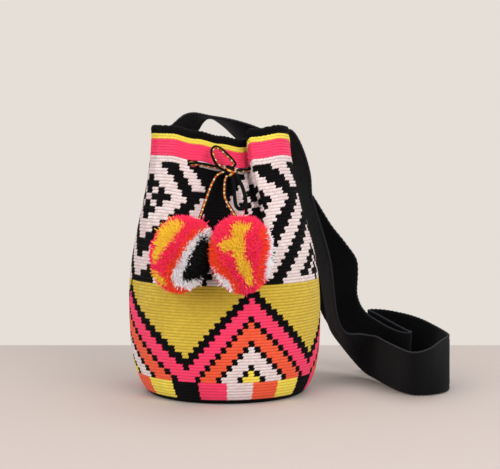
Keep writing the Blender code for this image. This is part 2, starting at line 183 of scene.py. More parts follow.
class Graph:
    """The node tree of one finish."""

    def __init__(self, name: str) -> None:
        """Start a material with a Principled shader.

        Args:
            name: The material's name.
        """
        self.material = bpy.data.materials.new(name)
        self.material.use_nodes = True
        self.tree = self.material.node_tree
        self.shader = self.tree.nodes["Principled BSDF"]

    def node(
        self,
        kind: str,
        settings: dict[str, Any] | None = None,
        inputs: dict[Any, Any] | None = None,
        output: str | int = 0,
    ) -> Wire:
        """Add a node.

        Args:
            kind: The node's type.
            settings: Its settings, which are set first.
            inputs: Values or links of its sockets.
            output: Which of its outputs is returned.

        Returns:
            That output.
        """
        made = self.tree.nodes.new(kind)
        for name, value in (settings or {}).items():
            setattr(made, name, value)
        for name, value in (inputs or {}).items():
            self.feed(made.inputs[name], value)
        return Wire(self, made.outputs[output])

    def feed(self, socket: bpy.types.NodeSocket, value: Any) -> None:
        """Link a wire to a socket, or set its value.

        Args:
            socket: The socket.
            value: A wire or a plain value.
        """
        if isinstance(value, Wire):
            self.tree.links.new(value.socket, socket)
        else:
            socket.default_value = value

    def mix(self, factor: Any, first: Any, second: Any) -> Wire:
        """Mix two colours."""
        return self.node(
            "ShaderNodeMix", {"data_type": "RGBA"}, {0: factor, 6: first, 7: second}, 2
        )

    def place(self) -> Wire:
        """The place on the object."""
        return self.node("ShaderNodeTexCoord", output="Object")

    def attribute(self, name: str, output: str = "Fac") -> Wire:
        """A named attribute of the mesh."""
        return self.node("ShaderNodeAttribute", {"attribute_name": name}, output=output)

    def grain(self, scale: float, detail: float = 2.0) -> Wire:
        """Noise on the object, from 0 to 1."""
        inputs = {"Vector": self.place(), "Scale": scale, "Detail": detail}
        return self.node("ShaderNodeTexNoise", None, inputs, "Fac")

    def bump(self, height: Wire, distance: float, strength: float = 1.0) -> None:
        """Press a height into the shader's normal.

        Args:
            height: The wire that carries the height.
            distance: The height in metres where the wire carries 1.
            strength: The share of the full effect.
        """
        normal = self.node(
            "ShaderNodeBump", None, {"Height": height, "Distance": distance, "Strength": strength}
        )
        self.feed(self.shader.inputs["Normal"], normal)

    def set(self, **values: Any) -> None:
        """Set or link the shader's own sockets, named with underscores."""
        for name, value in values.items():
            socket = name.replace("_", " ").title().replace("Ior", "IOR")
            self.feed(self.shader.inputs[socket], value)


def shade(colour: Sequence[float], factor: float) -> tuple[float, float, float, float]:
    """A linear colour made darker or lighter.

    Args:
        colour: The sRGB colour.
        factor: How much lighter it becomes.

    Returns:
        The linear colour.
    """
    red, green, blue, _ = linear(colour)
    return (min(red * factor, 1.0), min(green * factor, 1.0), min(blue * factor, 1.0), 1.0)


@dataclass(frozen=True)
class CottonYarn:
    """Matt plied cotton: fine fibres, uneven dye and a slight halo."""

    colour: tuple[int, int, int]
    fibre_scale: float = 2600.0
    dye_scale: float = 55.0
    roughness: float = 0.86
    sheen: float = 0.12
    specular: float = 0.22
    relief: float = 0.00022
    darkest: float = 0.80
    lightest: float = 1.24
    fibre_share: float = 0.45
    dye_share: float = 0.20
    tone_share: float = 0.35
    # A darker colour for the low end of the mix: the shade painted into the gaps between the
    # stitches, and the darker end of the random tone
    carried: tuple[int, int, int] | None = None

    def material(self, name: str) -> bpy.types.Material:
        """Build the finish.

        Args:
            name: The material's name.

        Returns:
            The material.
        """
        graph = Graph(name)
        fibres = graph.grain(self.fibre_scale, 1.0)
        dye = graph.grain(self.dye_scale, 2.0)
        tone = graph.attribute("tone")
        light = fibres * self.fibre_share + dye * self.dye_share + tone * self.tone_share
        # The low colour, when given, is painted shade for the gaps between the stitches and the
        # dark end of their random tone
        low = linear(self.carried) if self.carried else shade(self.colour, self.darkest)
        graph.set(
            base_color=graph.mix(light, low, shade(self.colour, self.lightest)),
            roughness=self.roughness,
            sheen_weight=self.sheen,
            sheen_roughness=0.5,
            specular_ior_level=self.specular,
        )
        graph.bump(fibres, self.relief, 0.7)
        return graph.material


@dataclass(frozen=True)
class BraidFinish:
    """The braided cord: each face of the braid holds its own yarn's colour."""

    roughness: float = 0.8
    fibre_scale: float = 2400.0
    shadow: Place = (0.62, 0.62, 0.62)
    relief: float = 0.0002

    def material(self, name: str) -> bpy.types.Material:
        """Build the finish.

        Args:
            name: The material's name.

        Returns:
            The material.
        """
        graph = Graph(name)
        fibres = graph.grain(self.fibre_scale, 1.0)
        colour = graph.attribute("yarn", "Color")
        dark = graph.node(
            "ShaderNodeMix",
            {"data_type": "RGBA", "blend_type": "MULTIPLY"},
            {0: 1.0, 6: colour, 7: (*self.shadow, 1.0)},
            2,
        )
        graph.set(
            base_color=graph.mix(fibres, dark, colour),
            roughness=self.roughness,
            sheen_weight=0.02,
            specular_ior_level=0.1,
        )
        graph.bump(fibres, self.relief, 0.6)
        return graph.material


@dataclass(frozen=True)
class WovenBlack:
    """The strap's dense black weave: ribs across, twill threads, dusty highlights."""

    face: tuple[int, int, int] = (12, 13, 17)
    # Colour of the weave's hollows: painted shade in the troughs of the ribs and twill, mixed with
    # random fibre tone
    hollow_shade: tuple[int, int, int] = (3, 3, 4)
    ribs: float = 440.0
    threads: float = 56.0
    fibre_scale: float = 2200.0
    rib_share: float = 0.45
    twill_share: float = 0.25
    fibre_share: float = 0.4
    sheen: float = 0.04
    relief: float = 0.00035

    def material(self, name: str) -> bpy.types.Material:
        """Build the finish.

        Args:
            name: The material's name.

        Returns:
            The material.
        """
        graph = Graph(name)
        uv = graph.node("ShaderNodeUVMap", {"uv_map": "weave"})
        split = graph.tree.nodes.new("ShaderNodeSeparateXYZ")
        graph.feed(split.inputs[0], uv)
        along, across = (Wire(graph, split.outputs[index]) for index in (0, 1))
        rib = (along * (self.ribs * math.pi)).sine().absolute()
        twill = (along * (self.ribs * math.pi * 2.0) + across * (self.threads * math.pi)).sine()
        fibres = graph.grain(self.fibre_scale, 1.0)
        weave = (
            rib * self.rib_share
            + twill.absolute() * self.twill_share
            + fibres * self.fibre_share
        )
        graph.set(
            # Painted shade: the weave is darker in the troughs of its ribs and twill lines, and
            # the fibre noise adds random tone
            base_color=graph.mix(weave, linear(self.hollow_shade), linear(self.face)),
            roughness=0.82,
            sheen_weight=self.sheen,
            sheen_roughness=0.45,
            specular_ior_level=0.10,
        )
        graph.bump(weave, self.relief, 0.8)
        return graph.material


@dataclass(frozen=True)
class PlainPaint:
    """A smooth pale surface of the studio."""

    colour: tuple[int, int, int]
    mottling: float = 0.04
    cloud_scale: float = 3.0

    def material(self, name: str) -> bpy.types.Material:
        """Build the finish.

        Args:
            name: The material's name.

        Returns:
            The material.
        """
        graph = Graph(name)
        cloud = graph.grain(self.cloud_scale, 3.0)
        low = shade(self.colour, 1.0 - self.mottling)
        graph.set(
            base_color=graph.mix(cloud, low, linear(self.colour)),
            roughness=0.9,
            specular_ior_level=0.1,
        )
        return graph.material


def new_object(
    name: str,
    mesh_data: bmesh.types.BMesh,
    materials: Iterable[bpy.types.Material],
    smooth: bool = True,
) -> bpy.types.Object:
    """Write a bmesh to a new object at the origin.

    Args:
        name: The piece's name.
        mesh_data: The bmesh, which is freed.
        materials: The piece's materials.
        smooth: Whether it is shaded smooth.

    Returns:
        The object.
    """
    mesh = bpy.data.meshes.new(name)
    mesh_data.to_mesh(mesh)
    mesh_data.free()
    for material in materials:
        mesh.materials.append(material)
    if smooth:
        mesh.shade_smooth()
    made = bpy.data.objects.new(name, mesh)
    bpy.context.scene.collection.objects.link(made)
    return made


def report(piece: bpy.types.Object) -> None:
    """Log a finished piece and its triangles."""
    triangles = sum(len(face.vertices) - 2 for face in piece.data.polygons)
    LOG.info("%s: %d triangles", piece.name, triangles)


def seat(piece: bpy.types.Object, body: str) -> None:
    """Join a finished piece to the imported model.

    Args:
        piece: The piece.
        body: The body that it rides on.
    """
    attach(piece, body)
    report(piece)


def grid(target: bmesh.types.BMesh, columns: int, rows: int) -> Corners:
    """Add a sheet of quads.

    Args:
        target: The bmesh that takes it.
        columns: How many quads it has along X.
        rows: How many it has along Y.

    Returns:
        The column and row of each new corner.
    """
    before = set(target.verts)
    bmesh.ops.create_grid(target, x_segments=columns, y_segments=rows, size=0.5)
    return {
        vertex: (round((vertex.co.x + 0.5) * columns), round((vertex.co.y + 0.5) * rows))
        for vertex in target.verts
        if vertex not in before
    }


def first_corner(face: bmesh.types.BMFace, corners: Corners) -> tuple[int, int]:
    """The lowest column and the lowest row of a face's corners."""
    columns, rows = zip(*(corners[vertex] for vertex in face.verts))
    return min(columns), min(rows)


def one_yarn(source: bmesh.types.BMesh, number: int) -> bmesh.types.BMesh:
    """Copy the faces that hold one yarn.

    Args:
        source: The bmesh.
        number: The yarn's material number.

    Returns:
        The copy, whose faces hold the material number 0.
    """
    part = source.copy()
    spare = [face for face in part.faces if face.material_index != number]
    bmesh.ops.delete(part, geom=spare, context="FACES")
    for face in part.faces:
        face.material_index = 0
    return part


def smooth_line(points: Sequence[Vector], steps: int) -> list[Vector]:
    """Points along a smooth curve through the given points.

    Args:
        points: The curve's own points.
        steps: How many steps each stretch takes.

    Returns:
        The finer line.
    """
    tangents = []
    for index, point in enumerate(points):
        before = points[max(index - 1, 0)]
        after = points[min(index + 1, len(points) - 1)]
        lengths = [(other - point).length for other in (before, after) if other is not point]
        tangents.append((after - before).normalized() * min(lengths))
    line = []
    for start, end, leave, arrive in zip(points, points[1:], tangents, tangents[1:]):
        for step in range(steps):
            share = step / steps
            line.append(
                start.lerp(end, smooth_step(share))
                + leave * (share * (1.0 - share) ** 2)
                - arrive * (share**2 * (1.0 - share))
            )
    line.append(points[-1])
    return line


def even_stops(points: Sequence[Vector], step: float) -> list[tuple[int, float]]:
    """Stops at an even distance along a line.

    Args:
        points: The line.
        step: The wanted distance.

    Returns:
        The stretch that each stop lies on, and its share of that stretch.
    """
    reached = [0.0]
    for start, end in zip(points, points[1:]):
        reached.append(reached[-1] + (end - start).length)
    count = max(round(reached[-1] / step), 2)
    stops, index = [], 0
    for number in range(count + 1):
        wanted = reached[-1] * number / count
        while index < len(points) - 2 and reached[index + 1] < wanted:
            index += 1
        span = max(reached[index + 1] - reached[index], 1e-9)
        stops.append((index, min((wanted - reached[index]) / span, 1.0)))
    return stops


def even_points(points: Sequence[Vector], step: float) -> list[Vector]:
    """The same line with points at an even distance, both ends kept."""
    return [points[at].lerp(points[at + 1], share) for at, share in even_stops(points, step)]


def line_length(points: Sequence[Vector]) -> float:
    """The length of a line of points."""
    return sum((end - start).length for start, end in zip(points, points[1:]))


@dataclass
class BagForm:
    """The shape of the bag's wall, as the model has it."""

    height: float = 0.262
    base_half_width: float = 0.074
    belly_half_width: float = 0.0987
    belly_height: float = 0.088
    rim_half_width: float = 0.0695
    rim_lean: float = 0.0045
    belly_roundness: float = 2.6
    belly_fullness: float = 0.45
    shoulder_ease: float = 1.15
    base_depth_share: float = 0.95
    rim_depth_share: float = 0.88
    wall: float = 0.0036
    rim_line_foot: float = 0.110
    fold_depth: float = 0.021
    fold_overlap: float = 0.013
    fold_overlap_spread: float = 9.0
    fold_foot: float = 0.135
    fold_start: float = -52.0
    fold_angle: float = 23.0
    fold_end: float = 36.0
    fold_ease: float = 1.4
    lobe_bulge: float = 0.005
    lobe_angles: tuple[float, float] = (-66.0, 54.0)
    lobe_spread: float = 17.0
    normal_turn: float = 0.5
    normal_rise: float = 0.0005
    # Angle, and how far the edge of the mouth stands above its nominal height
    rim_line: tuple[tuple[float, float], ...] = (
        (-180.0, -0.016), (-150.0, -0.015), (-125.0, -0.012), (-105.0, -0.005),
        (-88.0, 0.004), (-70.0, 0.0112), (-45.0, 0.0105), (-20.0, 0.0050),
        (0.0, 0.000), (17.0, -0.0035), (27.0, -0.0018), (38.0, 0.007),
        (52.0, 0.011), (70.0, 0.010), (92.0, 0.002), (122.0, 0.001),
        (145.0, -0.006), (165.0, -0.014), (180.0, -0.016),
    )
    eyelet_drop: float = 0.030
    # Angle, and how far before and after it the drawstring leaves the wall's faces
    eyelets: tuple[Place, ...] = (
        (28.0, 8.0, 0.0), (98.0, 4.2, 4.2), (128.0, 4.2, 4.2), (162.0, 4.2, 4.2),
        (196.0, 4.2, 4.2), (232.0, 4.2, 4.2), (262.0, 4.2, 4.2), (337.0, 4.2, 4.2),
    )

    @property
    def eyelet_height(self) -> float:
        """The nominal height of the eyelets' middles."""
        return self.height - self.eyelet_drop

    def rim_lift(self, angle: float) -> float:
        """How far the edge of the mouth stands above its nominal height.

        Args:
            angle: The angle from the front, in degrees.

        Returns:
            The distance, below zero where the edge hangs lower.
        """
        angle = (angle + 180.0) % 360.0 - 180.0
        index = min(
            bisect_right([a for a, _ in self.rim_line], angle) - 1, len(self.rim_line) - 2
        )
        (start, here), (end, after) = self.rim_line[index], self.rim_line[index + 1]
        return here + (after - here) * smooth_step((angle - start) / (end - start))

    def half_width(self, height: float) -> float:
        """Half width of the bag at a nominal height.

        Args:
            height: The nominal height.

        Returns:
            The half width.
        """
        if height < self.belly_height:
            share = 1.0 - height / self.belly_height
            swell = max(1.0 - share**self.belly_roundness, 0.0) ** self.belly_fullness
            return self.base_half_width + (self.belly_half_width - self.base_half_width) * swell
        share = (height - self.belly_height) / (self.height - self.belly_height)
        fall = 0.5 + 0.5 * math.cos(math.pi * min(share, 1.0) ** self.shoulder_ease)
        return self.rim_half_width + (self.belly_half_width - self.rim_half_width) * fall

    def pleat(self, angle: float, height: float) -> tuple[float, float, float]:
        """How the drawn mouth is pushed.

        Args:
            angle: The angle from the front, in degrees.
            height: The nominal height.

        Returns:
            The push sideways, inwards at the pleat and out at the lobes.
        """
        angle = (angle + 180.0) % 360.0 - 180.0
        share = smooth_step((height - self.fold_foot) / (self.height - self.fold_foot))
        rise = smooth_step((angle - self.fold_start) / (self.fold_angle - self.fold_start))
        fall = 1.0 - smooth_step((angle - self.fold_angle) / (self.fold_end - self.fold_angle))
        inwards = self.fold_depth * min(rise**self.fold_ease, fall) * share
        lap = bell(angle, self.fold_end, self.fold_overlap_spread)
        sideways = -self.fold_overlap * lap * share
        bulge = sum(bell(angle, lobe, self.lobe_spread) for lobe in self.lobe_angles)
        return sideways, inwards, self.lobe_bulge * bulge * share

    def point(self, angle: float, height: float, across: float | None = None) -> Vector:
        """A point of the bag's outer face.

        Args:
            angle: The angle from the front towards +X, in degrees.
            height: The nominal height.
            across: The half width, inside the base's disc.

        Returns:
            The point.
        """
        turn = math.radians(angle)
        share = height / self.height
        wide = self.half_width(height) if across is None else across
        deep = wide * (
            self.base_depth_share + (self.rim_depth_share - self.base_depth_share) * share
        )
        sideways, inwards, bulge = self.pleat(angle, height)
        swell = 1.0 + bulge / self.half_width(height)
        ease = smooth_step((height - self.rim_line_foot) / (self.height - self.rim_line_foot))
        return Vector(
            (
                swell * wide * math.sin(turn) - self.rim_lean * share + sideways,
                -swell * deep * math.cos(turn) + inwards,
                height + self.rim_lift(angle) * ease,
            )
        )

    def normal(self, angle: float, height: float) -> Vector:
        """The direction out of the wall at a point of its outer face.

        Args:
            angle: The angle from the front, in degrees.
            height: The nominal height.

        Returns:
            The direction, one unit long.
        """
        turn, rise = self.normal_turn, self.normal_rise
        along = self.point(angle + turn, height) - self.point(angle - turn, height)
        up = self.point(angle, height + rise) - self.point(angle, height - rise)
        return along.cross(up).normalized()

    def off_wall(self, angle: float, height: float, distance: float) -> Vector:
        """A point at a distance outside the outer face."""
        return self.point(angle, height) + self.normal(angle, height) * distance


@dataclass
class CrochetChart:
    """Which yarn each stitch is worked in, by its place in the round and its row."""

    stitches: int = 192
    cell: int = 2
    edging_rows: int = 2
    yellow_rows: int = 2
    pink_rows: int = 6
    figure_rows: int = 40
    zigzag_rows: int = 32
    block_rows: int = 6
    base_rows: int = 4
    figure_top: float = 0.2355
    figure_foot: float = 0.1190
    zigzag_foot: float = 0.0233
    block_foot: float = 0.0049
    repeats: int = 4
    figure_middle: int = 6
    foot_cells: int = 3
    zigzag_peak: int = 41
    block_start: int = 13
    # The last step of each ring round a lozenge, and its yarn
    rings: tuple[tuple[int, Yarn], ...] = (
        (6, Yarn.WHITE), (9, Yarn.BLACK), (12, Yarn.WHITE), (15, Yarn.BLACK), (18, Yarn.WHITE),
        (20, Yarn.BLACK),
    )
    # The last step of each chevron, and its yarn
    chevrons: tuple[tuple[int, Yarn], ...] = (
        (1, Yarn.BRIGHT_YELLOW), (2, Yarn.BLACK), (5, Yarn.WHITE), (6, Yarn.BLACK),
        (9, Yarn.ORANGE), (10, Yarn.BLACK), (13, Yarn.PINK), (15, Yarn.BLACK),
    )
    # The last stitch of each block, and its yarn
    blocks: tuple[tuple[int, Yarn], ...] = (
        (8, Yarn.BLACK), (19, Yarn.PINK), (29, Yarn.WHITE), (38, Yarn.ORANGE),
    )
    # Stitch and angle, where the stitches of each band lie round the bag
    figure_places: tuple[tuple[float, float], ...] = (
        (-9.0, -77.0), (3.0, -59.0), (9.0, -38.5), (15.0, -25.5), (23.0, -12.0),
        (51.0, 31.0), (57.0, 41.0), (63.0, 53.0), (72.0, 74.5), (183.0, 283.0),
    )
    zigzag_places: tuple[tuple[float, float], ...] = (
        (-6.0, -77.6), (18.0, -22.4), (42.0, 15.9), (66.0, 61.0), (186.0, 282.4),
    )
    drift_foot: float = 0.080
    drift_head: float = 0.119

    @property
    def rows(self) -> int:
        """Rows from the base's edge to the rim.

        Returns:
            The number of rows.
        """
        return (
            self.edging_rows
            + self.yellow_rows
            + self.pink_rows
            + self.figure_rows
            + self.zigzag_rows
            + self.block_rows
            + self.base_rows
        )

    def row_height(self, row: float, top: float) -> float:
        """The nominal height of a row's upper edge.

        Args:
            row: The row, counted down from the rim.
            top: The nominal height of the rim.

        Returns:
            The nominal height.
        """
        head = self.edging_rows + self.yellow_rows + self.pink_rows
        marks = (
            (0.0, top),
            (head, self.figure_top),
            (head + self.figure_rows, self.figure_foot),
            (head + self.figure_rows + self.zigzag_rows, self.zigzag_foot),
            (self.rows - self.base_rows, self.block_foot),
            (self.rows, 0.0),
        )
        return max(between(marks, row), 0.0)

    def angle(self, stitch: float, height: float) -> float:
        """Where a stitch lies round the bag.

        Args:
            stitch: The stitch, counted round the bag.
            height: The nominal height.

        Returns:
            The angle from the front, in degrees.
        """
        angles = []
        for places in (self.zigzag_places, self.figure_places):
            turns = math.floor((stitch - places[0][0]) / self.stitches)
            angles.append(between(places, stitch - turns * self.stitches) + 360.0 * turns)
        share = smooth_step((height - self.drift_foot) / (self.drift_head - self.drift_foot))
        return angles[0] + (angles[1] - angles[0]) * share

    @property
    def half_repeat(self) -> int:
        """Cells in half a repeat."""
        return self.stitches // (2 * self.cell * self.repeats)

    def _repeat(self, cells: int) -> int:
        """Cells from the middle of the nearest repeat, with their sign."""
        half = self.half_repeat
        return (cells + half) % (2 * half) - half

    def _worked(self, bands: Sequence[tuple[int, Yarn]], place: int, past: Yarn) -> Yarn:
        """The yarn of the band that holds a place, or the one past all of them."""
        return next((yarn for last, yarn in bands if place <= last), past)

    def figure(self, stitch: int, step: int) -> Yarn:
        """The black and white band: nested lozenges, seen from their middles.

        Args:
            stitch: The stitch.
            step: The step of two rows, counted down from the band's top.

        Returns:
            The yarn.
        """
        last_step = self.figure_rows // self.cell - 1
        across = self._repeat((stitch + 1) // self.cell)
        down = step - self.figure_middle
        beside = max(abs(across) - 1, 0)
        away = beside + abs(down)
        if step == 0:
            return Yarn.WHITE
        if self.half_repeat - abs(across) + abs(step - last_step + 1) <= 1:
            return Yarn.BLACK
        if step == last_step:
            return Yarn.BLACK if abs(across) <= self.foot_cells else Yarn.WHITE
        if away in (1, 3) or (away == 2 and 0 in (beside, down)):
            return Yarn.BLACK
        ring = self._worked(self.rings, away, Yarn.WHITE)
        second, third = self.rings[1][0], self.rings[2][0]
        if second < away <= third and (down == -1 or (across < 0 and step <= second)):
            return Yarn.BLACK
        return Yarn.BLACK if away > third and down < 0 else ring

    def zigzag(self, stitch: int, step: int) -> Yarn:
        """The nested chevrons.

        Args:
            stitch: The stitch.
            step: The step of two rows, counted up from the band's foot.

        Returns:
            The yarn.
        """
        level = abs(self._repeat((stitch - self.zigzag_peak) // self.cell)) + step
        return self._worked(self.chevrons, level, Yarn.MUSTARD)

    def block(self, stitch: int) -> Yarn:
        """The row of coloured blocks above the base."""
        place = (stitch - self.block_start) % (self.stitches // self.repeats)
        return self._worked(self.blocks, place, Yarn.BRIGHT_YELLOW)

    def yarn(self, stitch: int, row: int) -> Yarn:
        """The yarn of a stitch.

        Args:
            stitch: The stitch, counted round the bag.
            row: The row, counted down from the rim.

        Returns:
            The yarn.
        """
        bands: tuple[tuple[int, Callable[[int], Yarn]], ...] = (
            (self.edging_rows, lambda _: Yarn.BLACK),
            (self.yellow_rows, lambda _: Yarn.BRIGHT_YELLOW),
            (self.pink_rows, lambda _: Yarn.PINK),
            (self.figure_rows, lambda down: self.figure(stitch, down // self.cell)),
            (
                self.zigzag_rows,
                lambda down: self.zigzag(stitch, (self.zigzag_rows - 1 - down) // self.cell),
            ),
            (self.block_rows, lambda _: self.block(stitch)),
        )
        down = row
        for count, rule in bands:
            if down < count:
                return rule(down)
            down -= count
        return Yarn.BLACK


@dataclass
class CrochetedBag:
    """The bag's crocheted wall, base, rim and eyelets, one piece for each yarn."""

    form: BagForm
    chart: CrochetChart
    leg_lean: float = 0.22
    leg_inset: float = 0.00040
    leg_relief: float = 0.0011
    stitch_lean: float = 0.6
    stitch_fill: float = 1.45
    stitch_drift: float = 0.00012
    stitch_sway: float = 0.00035
    ground: float = -0.0004
    inner_relief: float = 0.0003
    # Tone of the gaps between the stitches, below the random tones: painted shade in the gaps
    gap_shade: float = -0.1
    base_row: float = 0.0031
    base_stitch: float = 0.0026
    base_eye: float = 0.0004
    base_lift: float = 0.0018
    eyelet_half_width: float = 0.0058
    eyelet_half_height: float = 0.0030
    eyelet_margin: float = 0.0011
    eyelet_steps: int = 28
    bound_sides: int = 8
    bound_radius: float = 0.0015
    bound_bump: float = 0.0002
    rim_radius: float = 0.0022
    rim_steps: int = 4
    scallop: float = 0.0007
    # Darker copies of the yarns: the shade painted into the gaps between the stitches, and the
    # darker end of the stitches' random tone
    dark_tones_and_gap_shades: dict[Yarn, tuple[int, int, int]] = field(
        default_factory=lambda: {
            Yarn.WHITE: (198, 170, 170),
            Yarn.MUSTARD: (184, 152, 50),
            Yarn.PINK: (232, 50, 88),
            Yarn.ORANGE: (218, 74, 46),
        }
    )
    random: random.Random = field(default_factory=lambda: random.Random(7))

    def build(self) -> list[bpy.types.Object]:
        """Crochet the whole bag.

        Returns:
            The pieces.
        """
        yarns = [Yarn.BLACK, Yarn.BRIGHT_YELLOW, Yarn.MUSTARD, Yarn.PINK, Yarn.ORANGE, Yarn.WHITE]
        outside = self._wall(yarns, 2, True)
        inside = self._wall(yarns, 1, False)
        pieces = []
        for number, yarn in enumerate(yarns):
            dark = yarn is Yarn.BLACK
            finish = CottonYarn(
                yarn.value,
                sheen=0.02 if dark else 0.12,
                specular=0.08 if dark else 0.22,
                # The darker colour of each yarn paints shade into the gaps between its stitches
                carried=self.dark_tones_and_gap_shades.get(yarn),
            ).material(f"{yarn.label}_cotton")
            for side, source in (("outside", outside), ("inside", inside)):
                part = one_yarn(source, number)
                pieces.append(new_object(f"crochet_{yarn.label}_{side}", part, [finish]))
        outside.free()
        inside.free()
        black = bpy.data.materials["black_cotton"]
        pieces += [self._base(black), self._rim(black), self._eyelets(black)]
        for piece in pieces:
            seat(piece, BAG_BODY)
        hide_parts("bag_body")
        return pieces

    def _in_eyelet(self, angle: float, height: float) -> bool:
        """Whether a place of the wall lies in an eyelet.

        Args:
            angle: The angle from the front, in degrees.
            height: The nominal height.

        Returns:
            True for a place inside an eyelet or its edging.
        """
        middle = self.form.eyelet_height
        reach = self.form.half_width(middle)
        for eyelet, _, _ in self.form.eyelets:
            away = (angle - eyelet + 180.0) % 360.0 - 180.0
            across = math.radians(away) * reach / (self.eyelet_half_width + self.eyelet_margin)
            up = (height - middle) / (self.eyelet_half_height + self.eyelet_margin)
            if across * across + up * up < 1.0:
                return True
        return False

    def _wall(self, yarns: list[Yarn], legs: int, outer: bool) -> bmesh.types.BMesh:
        """One face of the wall, with a material number for each yarn.

        Args:
            yarns: The yarns in the order of their numbers.
            legs: Faces in each stitch: two where its V shows.
            outer: Whether this is the outer face.

        Returns:
            The stitches of that face.
        """
        columns, rows = self.chart.stitches * legs, self.chart.rows
        sheet = bmesh.new()
        tone = sheet.faces.layers.float.new("tone")
        parity = sheet.faces.layers.int.new("parity")
        corners = {
            vertex: (column, rows - up)
            for vertex, (column, up) in grid(sheet, columns, rows).items()
        }
        spare = []
        tones = [self.random.random() for _ in range(self.chart.stitches * rows)]
        for face in sheet.faces:
            column, row = first_corner(face, corners)
            stitch = column // legs
            height = self.chart.row_height(row + 0.5, self.form.height)
            face.material_index = yarns.index(self.chart.yarn(stitch, row))
            face[tone] = tones[stitch * rows + row]
            face[parity] = row % 2
            if self._in_eyelet(self.chart.angle(stitch + 0.5, height), height):
                spare.append(face)
        for vertex, (column, row) in corners.items():
            lean = self.leg_lean if legs == 2 and column % 2 == 1 and 0 < row < rows else 0.0
            height = self.chart.row_height(row + lean, self.form.height)
            angle = self.chart.angle(column / legs, height)
            if outer:
                vertex.co = self.form.off_wall(angle, height, self.ground)
            else:
                wave = self.inner_relief * (1.0 if (column + row) % 2 else -1.0)
                vertex.co = self.form.off_wall(angle, height, wave - self.form.wall)
        bmesh.ops.delete(sheet, geom=spare, context="FACES")
        bmesh.ops.remove_doubles(sheet, verts=sheet.verts, dist=1e-6)
        self._face(sheet, outer)
        if outer:
            stitches = list(sheet.faces)
            gaps = bmesh.ops.inset_individual(
                sheet,
                faces=stitches,
                thickness=self.leg_inset,
                depth=self.leg_relief,
                use_even_offset=True,
            )
            # The gaps get a tone below the random range: painted shade between the stitches
            for face in gaps["faces"]:
                face[tone] = self.gap_shade
            self._slant(sheet, stitches)
        return sheet

    def _slant(self, sheet: bmesh.types.BMesh, stitches: list[bmesh.types.BMFace]) -> None:
        """Lean the raised stitches to the right and close the gaps beside them.

        Args:
            sheet: The outer face.
            stitches: The raised faces.
        """
        sheet.normal_update()
        parity = sheet.faces.layers.int["parity"]
        for face in stitches:
            sway = self.stitch_sway * (1.0 if face[parity] else -1.0)
            middle = face.calc_center_median()
            right = Vector((0.0, 0.0, 1.0)).cross(face.normal).normalized()
            up = face.normal.cross(right)
            for vertex in face.verts:
                offset = vertex.co - middle
                across, rise = offset.dot(right), offset.dot(up)
                fill = across * (self.stitch_fill - 1.0) + rise * self.stitch_lean
                vertex.co += right * (fill + sway)
                vertex.co += up * self.random.gauss(0.0, self.stitch_drift)

    def _face(self, sheet: bmesh.types.BMesh, outer: bool) -> None:
        """Turn a sheet's faces outwards, or inwards for the inner face.

        Args:
            sheet: The sheet, changed in place.
            outer: Whether it is the outer face.
        """
        sheet.normal_update()
        probe = sheet.faces[:][len(sheet.faces) // 2]
        centre = probe.calc_center_median()
        out = probe.normal.dot(Vector((centre.x, centre.y, 0.0))) > 0.0
        if out != outer:
            bmesh.ops.reverse_faces(sheet, faces=list(sheet.faces))
        sheet.normal_update()

    def _base(self, material: bpy.types.Material) -> bpy.types.Object:
        """The base: rounds of stitches from its edge to its middle.

        Args:
            material: The yarn's finish.

        Returns:
            The piece.
        """
        disc = bmesh.new()
        rounds = round(self.form.base_half_width / self.base_row)
        for number in range(rounds):
            outer = self.form.base_half_width * (1.0 - number / rounds)
            inner = self.form.base_half_width * (1.0 - (number + 1) / rounds)
            inner = max(inner, self.base_eye)
            steps = max(round(2.0 * math.pi * outer / self.base_stitch), 6)
            ends = [disc.verts.new((radius, 0.0, 0.0)) for radius in (inner, outer)]
            edge = disc.edges.new(ends)
            bmesh.ops.spin(
                disc,
                geom=ends + [edge],
                cent=(0.0, 0.0, 0.0),
                axis=(0.0, 0.0, 1.0),
                angle=2.0 * math.pi,
                steps=steps,
                use_merge=True,
                use_duplicate=False,
            )
        tone = disc.faces.layers.float.new("tone")
        for vertex in disc.verts:
            across = math.hypot(vertex.co.x, vertex.co.y)
            angle = math.degrees(math.atan2(vertex.co.x, -vertex.co.y))
            vertex.co = self.form.point(angle, 0.0, across) + Vector((0.0, 0.0, self.base_lift))
        disc.normal_update()
        for face in disc.faces:
            face[tone] = self.random.random()
        under = [face for face in disc.faces if face.normal.z > 0.0]
        bmesh.ops.reverse_faces(disc, faces=under)
        bmesh.ops.inset_individual(
            disc,
            faces=list(disc.faces),
            thickness=self.leg_inset,
            depth=self.leg_relief,
            use_even_offset=True,
        )
        return new_object("crochet_base", disc, [material])

    def _bound_edge(
        self, target: bmesh.types.BMesh, line: Sequence[Vector], radius: Callable[[int], float]
    ) -> None:
        """Add a closed round edging along a line.

        Args:
            target: The bmesh that takes it.
            line: The closed line's points, with the first one not repeated.
            radius: The edging's radius at each point.
        """
        count = len(line)
        middle = sum(line, Vector()) / count
        fresh = grid(target, count, self.bound_sides)
        for vertex, (column, side) in fresh.items():
            index = column % count
            tangent = (line[(index + 1) % count] - line[index - 1]).normalized()
            outward = line[index] - middle
            outward = (outward - tangent * outward.dot(tangent)).normalized()
            upward = tangent.cross(outward)
            turn = 2.0 * math.pi * (side % self.bound_sides) / self.bound_sides
            reach = radius(index)
            vertex.co = line[index] + outward * (reach * math.cos(turn)) + upward * (
                reach * math.sin(turn)
            )
        bmesh.ops.remove_doubles(target, verts=list(fresh), dist=1e-6)

